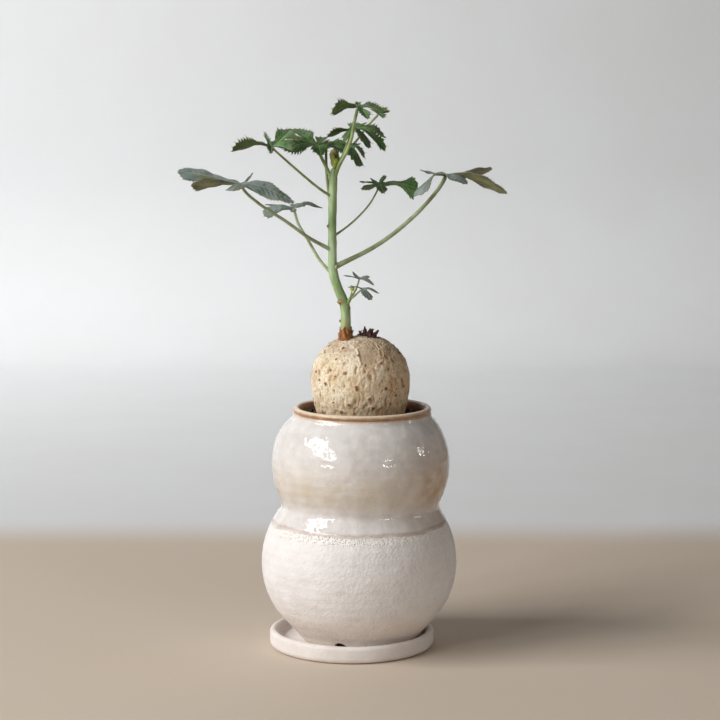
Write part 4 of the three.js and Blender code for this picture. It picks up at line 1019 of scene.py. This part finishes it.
SINUS = 0.3  # where neighbouring lobes part, as a share of their reach
OUTER_HALF_TURN = math.radians(38)
WIDEST_HALF_TURN = math.radians(75)
ACROSS = np.array([0, 0.05, 0.13, 0.25, 0.4, 0.55, 0.7, 0.84, 0.94, 1.0])
INNER_ROWS = 7
TOOTH_STEPS = ((0.0, -1.0), (0.3, -0.35), (0.6, 0.45), (0.86, 1.0))  # way along a tooth and its depth
TOOTH_TIP = 0.8  # the way along a tooth past which its tip is
TOOTH_LEAN = 0.34  # how far a tooth's tip leans forward, as a share of a tooth
LAST_TOOTH = 0.985  # teeth end here, as a share of the lobe


def lobe_from(numbers, leaf):
    turn, reach, rise, width, roll, bow, belly = numbers
    return {"turn": math.radians(turn), "reach": reach, "rise": rise, "width": width,
            "roll": math.radians(roll), "bow": bow, "belly": belly, "fold": math.radians(leaf["fold"])}


def lobe_axes(lobe):
    """Level directions along a lobe and across it."""
    lengthwise = np.array([math.cos(lobe["turn"]), math.sin(lobe["turn"]), 0])
    return lengthwise, np.array([-lengthwise[1], lengthwise[0], 0])


def rib_height(lobe, along):
    return lobe["rise"] * along ** 1.4 + lobe["bow"] * math.sin(math.pi * along ** 0.7)


def lobe_point(centre, lobe, along, outward, side):
    """Point of a lobe: the way along its midrib, and out from it to the right (-) or left (+)."""
    lengthwise, sideways = lobe_axes(lobe)
    tilt = (lobe["roll"] + lobe["fold"] * side) * float(smoothstep(along, 0, 0.4))
    height = rib_height(lobe, along) + outward * math.sin(tilt)
    return centre + lengthwise * lobe["reach"] * along + sideways * outward * math.cos(tilt) + (0, 0, height)


def lobe_half_width(lobe, along, half_turn):
    bent = min(1, along ** (math.log(0.5) / math.log(lobe["belly"])))
    wanted = lobe["width"] / 2 * max(0.16, math.sin(math.pi * bent) ** 0.7)
    room = 0.86 * lobe["reach"] * along * math.tan(min(half_turn, WIDEST_HALF_TURN))
    return min(wanted, room)


def sinus_point(centre, lobe, after, outer_side):
    """Where a lobe parts from the one after it, or where its outer side starts if there is none."""
    sides = [(lobe, 1), (after, -1)] if after else [(lobe, outer_side)]
    half_turn = (after["turn"] - lobe["turn"]) / 2 if after else OUTER_HALF_TURN
    reach = SINUS * min(each["reach"] for each, _ in sides) + 0.5
    heights = []
    for each, side in sides:
        along = max(0, reach * math.cos(half_turn) / each["reach"])
        outward = side * reach * math.sin(half_turn)
        heights.append(rib_height(each, along) + outward * math.sin(each["roll"] + each["fold"] * side))
    turn = lobe["turn"] + (1 if after else outer_side) * half_turn
    return centre + np.array([math.cos(turn) * reach, math.sin(turn) * reach, np.mean(heights)])


def half_lobe(centre, lobe, leaf, side, sinus, half_turn, phase):
    """One side of a lobe as rows of points from midrib to edge, with each point's place in the leaf."""
    start = SINUS * 1.15
    teeth = max(4, round(lobe["reach"] / leaf["tooth"]))
    stride = (1 - start) / (teeth + 0.6)
    rows = [(start * share, centre + (sinus - centre) * share) for share in np.linspace(0, 1, INNER_ROWS)]
    tips = []
    for tooth in range(teeth):
        for way, depth in TOOTH_STEPS:
            along = start + stride * (tooth + 0.35 + way)
            if along >= LAST_TOOTH:
                continue
            depth = depth * min(1, 0.5 + tooth) * (1 + 0.3 * math.sin(tooth * 2.4 + phase))
            half = lobe_half_width(lobe, along, half_turn) * (1 + leaf["teeth"] * depth)
            forward = TOOTH_LEAN * stride if way > TOOTH_TIP else 0
            rows.append((along, lobe_point(centre, lobe, along + forward, half * side, side)))
            if way > TOOTH_TIP:
                tips.append(len(rows) - 1)
    rows.append((1.0, lobe_point(centre, lobe, 1, 0, side)))
    points, places = [], []
    for along, edge in rows:
        middle = lobe_point(centre, lobe, along, 0, side)
        width = float(np.linalg.norm(edge - middle))
        length = along * lobe["reach"]
        fade = float(smoothstep(along, 0.1, 0.45) * smoothstep(along, 1.0, 0.8))
        for share in ACROSS:
            quilt = math.sin((length - share * width * 0.75) * FULL_TURN / leaf["veins"])
            lift = leaf["quilt"] * quilt * math.sin(math.pi * min(1, share * 1.1)) * fade
            lift += leaf["wave"] * math.sin(length * 0.62 + phase + side) * share ** 2 * fade
            lift -= leaf["cup"] * (share * width) ** 2 * fade
            points.append(middle + (edge - middle) * share + (0, 0, lift))
            places.append((length, share * width))
    return points, len(rows), tips, places


def vertex_normals(points, faces):
    normals = np.zeros_like(points)
    for face in faces:
        corners = points[list(face)]
        normal = np.cross(corners[2] - corners[0], corners[-1] - corners[1 if len(face) == 4 else 0])
        for corner in face:
            normals[corner] += normal
    return normals / (np.linalg.norm(normals, axis=1)[:, None] + 1e-12)


def open_blade(leaf):
    """The blade's middle surface: points, faces, tooth tips, and each point's place along and across."""
    centre = np.array(leaf["stalk"][-1], float)
    lobes = [lobe_from(numbers, leaf) for numbers in leaf["lobes"]]
    for before, lobe in zip(lobes, lobes[1:]):
        while lobe["turn"] < before["turn"]:
            lobe["turn"] += FULL_TURN
    points, faces, tips, places = [], [], [], []
    columns = len(ACROSS)
    for index, (before, lobe, after) in enumerate(zip([None, *lobes], lobes, [*lobes[1:], None])):
        for side, neighbour in ((-1, before), (1, after)):
            if side < 0 and before:
                sinus = sinus_point(centre, before, lobe, 1)
            else:
                sinus = sinus_point(centre, lobe, after if side > 0 else None, side)
            half_turn = abs(lobe["turn"] - neighbour["turn"]) / 2 if neighbour else math.pi
            half_points, rows, tip_rows, half_places = half_lobe(centre, lobe, leaf, side, sinus, half_turn,
                                                                 index * 1.9 + side)
            start = len(points)
            points.extend(half_points)
            places.extend(half_places)
            faces.extend(grid_faces(rows, columns, flip=side > 0, start=start))
            tips.extend((start + (row + 1) * columns - 1, lobe, side) for row in tip_rows)
            tips.append((start + (rows - 1) * columns, lobe, 0))
    return welded(np.array(points), faces, tips, np.array(places))


def welded(points, faces, tips, places):
    """Shared points of neighbouring half lobes joined, and faces that have shrunk to nothing dropped."""
    found, first, kept = {}, [], []
    for index, point in enumerate(points):
        key = tuple(np.round(point, 3))
        if key not in found:
            found[key] = len(kept)
            kept.append(index)
        first.append(found[key])
    joined = []
    for face in faces:
        corners = []
        for corner in face:
            if not corners or first[corner] != corners[-1]:
                corners.append(first[corner])
        if corners[0] == corners[-1]:
            corners.pop()
        if len(set(corners)) > 2:
            joined.append(tuple(corners))
    tips = [(first[corner], lobe, side) for corner, lobe, side in tips]
    return points[kept], joined, tips, places[kept].T


def blade_form(leaf):
    """Closed blade: upper skin (slot 0), lower skin (slot 1) with raised ribs, and bristles (slot 2)."""
    points, faces, tips, (lengths, sides) = open_blade(leaf)
    normals = vertex_normals(points, faces)
    reach = max(numbers[1] for numbers in leaf["lobes"])
    all_faces, rim = sheet_faces(faces, len(points))
    taper = leaf.get("thickness", 0.5) / 2 * (1 - 0.25 * lengths / reach)
    rib = 0.42 * np.exp(-(sides / 0.34) ** 2) * (1 - 0.8 * lengths / reach)
    groove = 0.12 * np.exp(-(sides / 0.3) ** 2)
    upper = points + normals * (taper - groove)[:, None]
    lower = points - normals * (taper + rib)[:, None]
    edge_share = np.zeros(len(points))
    edge_share[[corner for edge in rim for corner in edge]] = 1
    form = Form(np.vstack([upper, lower]), all_faces, [0] * len(faces) + [1] * len(faces) + [0] * len(rim),
                along=np.tile(lengths, 2), across=np.tile(sides, 2), rim=np.tile(edge_share, 2))
    for corner, lobe, side in tips:
        lengthwise, sideways = lobe_axes(lobe)
        tilt = (lobe["roll"] + lobe["fold"] * side) if side else 0
        outward = sideways * side * math.cos(tilt) + np.array([0, 0, side * math.sin(tilt)])
        slope = np.array([0, 0, lobe["rise"] / lobe["reach"] * (1 if side else 1.3)])
        heading = lengthwise * (0.75 if side else 1) + slope + outward * 0.8
        heading /= np.linalg.norm(heading)
        length = leaf["bristle"] * (0.75 + 0.25 * math.sin(corner * 1.7))
        root = points[corner] - heading * 0.3
        bend = normals[corner] * 0.15 * length
        middle = root + heading * length * 0.5 + bend * 0.4
        line = curve_points([root, middle, root + heading * length + bend], 6)
        form.add(*tube(line, tapered(0.17, 1, 0.72), 6), 2, along=reach, across=2, rim=1)
    return form


def stalk_line(leaf, count=60):
    """A leaf stalk's centre line, which ends in the underside of its blade."""
    end = list(leaf["stalk"][-1])
    end[2] -= 0.35
    return curve_points([*leaf["stalk"][:-1], end], count)


def stalk_form(leaf, seed):
    """Leaf stalk with a swollen foot, a slight swelling under the blade, and faint ribs."""
    def radius_at(share):
        foot = 0.42 * math.exp(-share * 16)
        neck = 0.12 * math.exp(-(1 - share) * 22)
        return leaf["radius"] * (0.97 - 0.22 * share + foot + neck)

    def ribs(share, turn):
        lumps = noise.noise(Vector((share * 14, turn, seed)))
        return leaf["radius"] * (0.05 * math.sin(turn * 5 + seed) + 0.05 * lumps)
    return Form(*tube(stalk_line(leaf), rounded(radius_at, 0.01, 0.012), 16, ribs))


def blade_look(name, light, middle, dark, vein, tinge, bloom):
    """Leaf skin with a midrib and side veins that follow each lobe."""
    look = Look(name, (0.25, (0.5, 0.8, 0.25), 0.001))
    along, across = look.value_of("along"), look.value_of("across")
    look.colour = look.ramp(look.noise(6, 4), (0.3, dark), (0.5, middle), (0.68, light))
    look.paint((176, 188, 180), look.patches(11, 4, 0.4, 0.62), bloom)
    look.paint(tinge, look.patches(8, 4, 0.54, 0.7), 0.7)
    look.paint(tinge, look.value_of("rim"), 0.45)
    slant = look.math("MULTIPLY_ADD", across, -0.75, look.add(along, look.varied(2.5, 2, 0.5, -0.25)))
    side_vein = look.band(look.math("PINGPONG", slant, 1.35), 0.26, 0.06)
    midrib = look.band(across, 0.42, 0.16)
    veins = look.math("MAXIMUM", look.times(side_vein, 0.6), midrib)
    fine = look.band(look.cells(1.1, feature="DISTANCE_TO_EDGE"), 0.09, 0.02)
    veins = look.math("MAXIMUM", veins, look.times(fine, 0.28))
    look.paint(vein, veins, 0.55)
    return look.finish(look.varied(3, 3, 0.25, 0.42), (look.math("SUBTRACT", 1.0, veins), 0.14),
                       (look.noise(0.8, 3), 0.05))


def stalk_look(name, light, dark, tinge):
    """Smooth waxy leaf stalk, streaked along its length."""
    look = Look(name, (0.15, (0.8, 1.0, 0.4), 0.0006))
    look.colour = look.ramp(look.noise(5, 4), (0.32, dark), (0.62, light))
    look.paint(tinge, look.patches(9, 3, 0.48, 0.66), 0.65)
    look.paint((186, 184, 146), look.band(look.cells(1.3), 0.2, 0.1), 0.35)
    return look.finish(look.varied(2, 3, 0.2, 0.35), (look.noise(0.8, 3), 0.05), (look.noise(2, 2), 0.08))


def bristle_look():
    look = Look("leaf_bristle")
    look.colour = look.ramp(look.noise(1.5, 2), (0.35, (108, 84, 48)), (0.65, (158, 142, 84)))
    return look.finish(0.45)


def bud_look(name, light, dark, tip):
    """Folded young tissue: yellow-green, darker and redder at its ends."""
    look = Look(name, (0.2, (0.6, 0.8, 0.3), 0.0008))
    look.colour = look.ramp(look.noise(1.6, 4), (0.3, dark), (0.65, light))
    look.paint(tip, look.band(look.value_of("end"), 0.35, 1.0))
    return look.finish(look.varied(2, 3, 0.2, 0.4), (look.noise(0.6, 3, (1, 1, 3)), 0.12))


def folded_leaf(line, width, thickness, teeth, curl):
    """Closed, folded young leaf along a line: a narrow gutter, toothed or not."""
    steps, columns = 30, 9
    points = []
    frames = frames_along(curve_points(line, steps), (0.3, 1, 0.1))
    for step, (share, centre, tangent, side) in enumerate(frames):
        normal = np.cross(side, tangent)
        half = width * max(0.12, math.sin(math.pi * min(1, 0.08 + share * 0.92)) ** 0.8)
        if teeth and 0.15 < share < 0.95:
            half *= 1 + 0.28 * (-0.3, 0.2, 0.2, 1)[step % 4]
        for place in np.linspace(-1, 1, columns):
            angle = place * curl * math.pi / 2
            points.append(centre + side * half * math.sin(angle) + normal * half * (1 - math.cos(angle)))
    points = np.array(points)
    faces = grid_faces(steps, columns)
    lift = vertex_normals(points, faces) * thickness / 2
    ends = np.tile(np.repeat(np.linspace(0, 1, steps), columns), 2)
    return np.vstack([points + lift, points - lift]), sheet_faces(faces, len(points))[0], ends


def tip_form():
    """Shoot tip: a bud of close scales with two young leaves still folded over it."""
    form = Form()
    centre, radii = np.array(TIP_BUD["at"], float), np.array(TIP_BUD["radii"], float)
    for scale in range(7):
        turn = scale * 2.4
        lean = 0.25 + 0.1 * scale
        foot = centre + (0.5 * math.cos(turn), 0.45 * math.sin(turn), -radii[2] * 0.8)
        belly = centre + (radii[0] * 0.75 * math.cos(turn), radii[1] * 0.75 * math.sin(turn), 0.1 * scale)
        top = centre + (lean * math.cos(turn), lean * math.sin(turn), radii[2] * (0.75 + 0.08 * scale))
        points, faces, ends = folded_leaf([foot, belly, top], 1.0, 0.3, False, 0.8)
        form.add(points, faces, end=ends * 0.5)
    line = curve_points([centre - (0, 0, radii[2]), centre, centre + (0, 0, radii[2] * 0.8)], 14)
    core = rounded(lambda share: 1.05 * math.sin(math.pi * (0.2 + 0.7 * share)), 0.05, 0.2)
    form.add(*tube(line, core, 14), end=0.1)
    for index, line in enumerate(YOUNG_LEAVES):
        points, faces, ends = folded_leaf(line, 1.25, 0.35, True, 0.75)
        form.add(points, faces, end=0.45 + ends * 0.55)
        shifted = np.array(line, float) + (0.5, 0.35 * (1 - 2 * index), -0.5)
        points, faces, ends = folded_leaf(shifted, 0.8, 0.3, True, 0.7)
        form.add(points, faces, end=0.35 + ends * 0.55)
    return form


def side_shoot_form():
    """The side shoot's axis with its leaf stalks and bud stalk."""
    axis = curve_points(SIDE_SHOOT["axis"], 30)
    form = Form(*tube(axis, rounded(tapered(SIDE_SHOOT["radius"], 1.25, 0.35), 0.03, 0.15), 18))
    for leaf in SIDE_SHOOT["leaves"]:
        form.add(*tube(stalk_line(leaf, 34), rounded(tapered(leaf["radius"], 1.15, 0.3), 0.03, 0.04), 14))
    bud_stalk = curve_points(SIDE_SHOOT["budStalk"], 24)
    form.add(*tube(bud_stalk, rounded(tapered(SIDE_SHOOT["budStalkRadius"], 1.1, 0.15), 0.04, 0.1), 12))
    return form.grown_together(0.14)


def bud_form():
    """Closed flower bud: five overlapping pointed scales round a core."""
    line = np.array(SIDE_SHOOT["bud"], float)
    foot, middle, top = line
    core = rounded(lambda share: 0.62 * math.sin(math.pi * (0.2 + 0.68 * share)), 0.06, 0.2)
    form = Form(*tube(curve_points(line, 16), core, 12), end=0.1)
    for scale in range(5):
        turn = scale * FULL_TURN / 5
        out = np.array([math.cos(turn), math.sin(turn), 0])
        scale_line = [foot + out * 0.15, middle + out * 0.62, top + out * 0.12]
        points, faces, ends = folded_leaf(scale_line, 0.5, 0.2, False, 0.8)
        form.add(points, faces, end=ends * 0.7)
    return form


# The part

piece("pot_stoneware", pot_form(), [ceramic_look()], ["pot"], sharp=50)
piece("saucer_stoneware", saucer_form(), [saucer_look()], ["saucer"], sharp=50)
piece("potting_mix", soil_form(), [soil_look()], ["soil"])
piece("caudex_skin", caudex_form(), [caudex_look()], ["caudex"], sharp=180)
piece("stump_remains", stump_form(), [stump_look()], ["old_stump"], sharp=180)
piece("living_stem", stem_form(), [stem_look()], ["stem"], sharp=70)
piece("peeling_bark", bark_form(), [bark_look()], ["bark_collar"])
for material_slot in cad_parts["drain_net"].material_slots:
    material_slot.material = net_look()

# Leaves 1 to 4 have the shape and stalk of old ones, and leaf 4 is as green as the young ones
OLD_LEAVES = 4
old_upper = blade_look("old_leaf_upper", (138, 154, 148), (110, 126, 120), (82, 98, 90), (168, 180, 166),
                       (104, 96, 66), 0.4)
old_lower = blade_look("old_leaf_lower", (144, 150, 106), (112, 118, 82), (80, 82, 60), (160, 160, 114),
                       (88, 74, 52), 0.1)
young_upper = blade_look("young_leaf_upper", (108, 146, 90), (66, 106, 48), (40, 72, 30), (132, 162, 100),
                         (70, 76, 38), 0.15)
young_lower = blade_look("young_leaf_lower", (94, 116, 58), (68, 92, 40), (46, 62, 30), (118, 134, 74),
                         (78, 66, 38), 0.03)
bristles = bristle_look()
old_stalk = stalk_look("old_leaf_stalk", (176, 194, 154), (140, 156, 114), (134, 128, 86))
young_stalk = stalk_look("young_leaf_stalk", (156, 178, 118), (120, 140, 84), (122, 112, 66))

OLD_HABIT = {"tooth": 2.6, "veins": 2.7, "quilt": 0.16, "wave": 0.35, "cup": 0.004, "bristle": 0.9}
YOUNG_HABIT = {"tooth": 2.1, "veins": 2.4, "quilt": 0.14, "wave": 0.3, "cup": 0.004, "bristle": 1.7}
SMALL_HABIT = {**OLD_HABIT, "tooth": 1.7, "veins": 1.8, "quilt": 0.08, "wave": 0.15, "bristle": 0.6,
               "thickness": 0.4}
for number, each_leaf in enumerate(LEAVES, start=1):
    old = number <= OLD_LEAVES
    green = number >= OLD_LEAVES
    grown = {**each_leaf, **(OLD_HABIT if old else YOUNG_HABIT)}
    name = f"leaf_{number}"
    blade_looks = [young_upper, young_lower, bristles] if green else [old_upper, old_lower, bristles]
    piece(f"{name}_leaf_blade", blade_form(grown), blade_looks, [f"{name}_blade"],
          sharp=70)
    piece(f"{name}_leaf_stalk", stalk_form(grown, number), [old_stalk if old else young_stalk],
          [f"{name}_stalk"])

piece("side_shoot_stems", side_shoot_form(), [young_stalk], ["side_shoot_stalks"], sharp=180)
for number, each_leaf in enumerate(SIDE_SHOOT["leaves"], start=1):
    piece(f"side_shoot_leaf_{number}", blade_form({**each_leaf, **SMALL_HABIT}),
          [old_upper, old_lower, bristles], [f"side_shoot_blade_{number}"], sharp=70)
bud_green = bud_look("bud_scales", (188, 198, 92), (138, 156, 68), (96, 92, 52))
piece("side_shoot_flower_bud", bud_form(), [bud_green], ["side_shoot_bud"], sharp=70)
piece("folded_young_leaves", tip_form(), [bud_green], ["shoot_tip"], sharp=70)


# Stage and light

def stage_form():
    """Floor that sweeps up into the wall behind."""
    bend, start = 200, 1120
    turns = np.radians(np.linspace(4, 90, 24))
    sweep = [(bend - bend * math.cos(turn), start + bend * math.sin(turn)) for turn in turns]
    profile = [(0, -800), (0, start), *sweep, (1600, start + bend)]
    points = [(x, y, z) for z, y in profile for x in (-1500, -600, 0, 300, 620)]
    return Form(points, grid_faces(len(profile), 5, flip=True))


def stage_look():
    """Pale matt paper, a little warmer in front."""
    look = Look("pale_backdrop")
    look.colour = look.mix(look.band(look.y, 240, 330), (206, 191, 174), (224, 226, 228))
    look.paint((206, 200, 194), look.patches(90, 3, 0.3, 0.7), 0.08)
    return look.finish(0.9)


backdrop = stage_form().made("backdrop", MM)
backdrop.data.shade_smooth()
backdrop.data.materials.append(stage_look())


def area_light(name, width, height, power, colour):
    data = bpy.data.lights.new(name, "AREA")
    data.shape = "RECTANGLE"
    data.size, data.size_y = width, height
    data.energy = power
    data.color = colour
    return linked(name, data)


def window(name, azimuth, elevation, distance, *shape):
    """Soft light aimed at the pot's shoulder. Azimuth is to the right of the camera, in degrees."""
    light = area_light(name, *shape)
    turn, rise = math.radians(azimuth), math.radians(elevation)
    away = Vector((math.sin(turn) * math.cos(rise), -math.cos(turn) * math.cos(rise), math.sin(rise)))
    light.location = Vector((0, 0, 0.13)) + away * distance
    light.rotation_euler = (-away).to_track_quat("-Z", "Y").to_euler()


# The window at the left is two rows of panes, which show as a slanted, broken band in the glaze
WARM_WHITE = (1.0, 0.98, 0.95)
for column, (azimuth, elevation) in enumerate([(-84, 43), (-73, 41), (-62, 36), (-53, 29), (-41, 22)]):
    for row in (0, 1):
        window(f"window_pane_{2 * column + row + 1}", azimuth - 2 * row, elevation - 10 * row, 2.0,
               0.25, 0.24, 4.2, (1.0, 1.0, 0.99))
window("window_right", 36, 11, 1.6, 0.36, 0.09, 2.2, WARM_WHITE)
window("window_far_right", 90, 14, 1.6, 0.07, 0.24, 0.8, WARM_WHITE)
wall_wash = area_light("wall_wash", 0.3, 0.3, 2.2, (1.0, 1.0, 1.0))
wall_wash.data.spread = math.radians(60)
wall_wash.location = (-1.3, 0.6, 1.6)
aim = Vector((-0.35, 1.2, 0.2)) - wall_wash.location
wall_wash.rotation_euler = aim.to_track_quat("-Z", "Y").to_euler()
world = bpy.data.worlds.new("studio")
world.use_nodes = True
world.node_tree.nodes["Background"].inputs["Color"].default_value = (1.0, 0.9, 0.82, 1)
world.node_tree.nodes["Background"].inputs["Strength"].default_value = 0.12
bpy.context.scene.world = world
bpy.context.scene.view_settings.view_transform = "Standard"
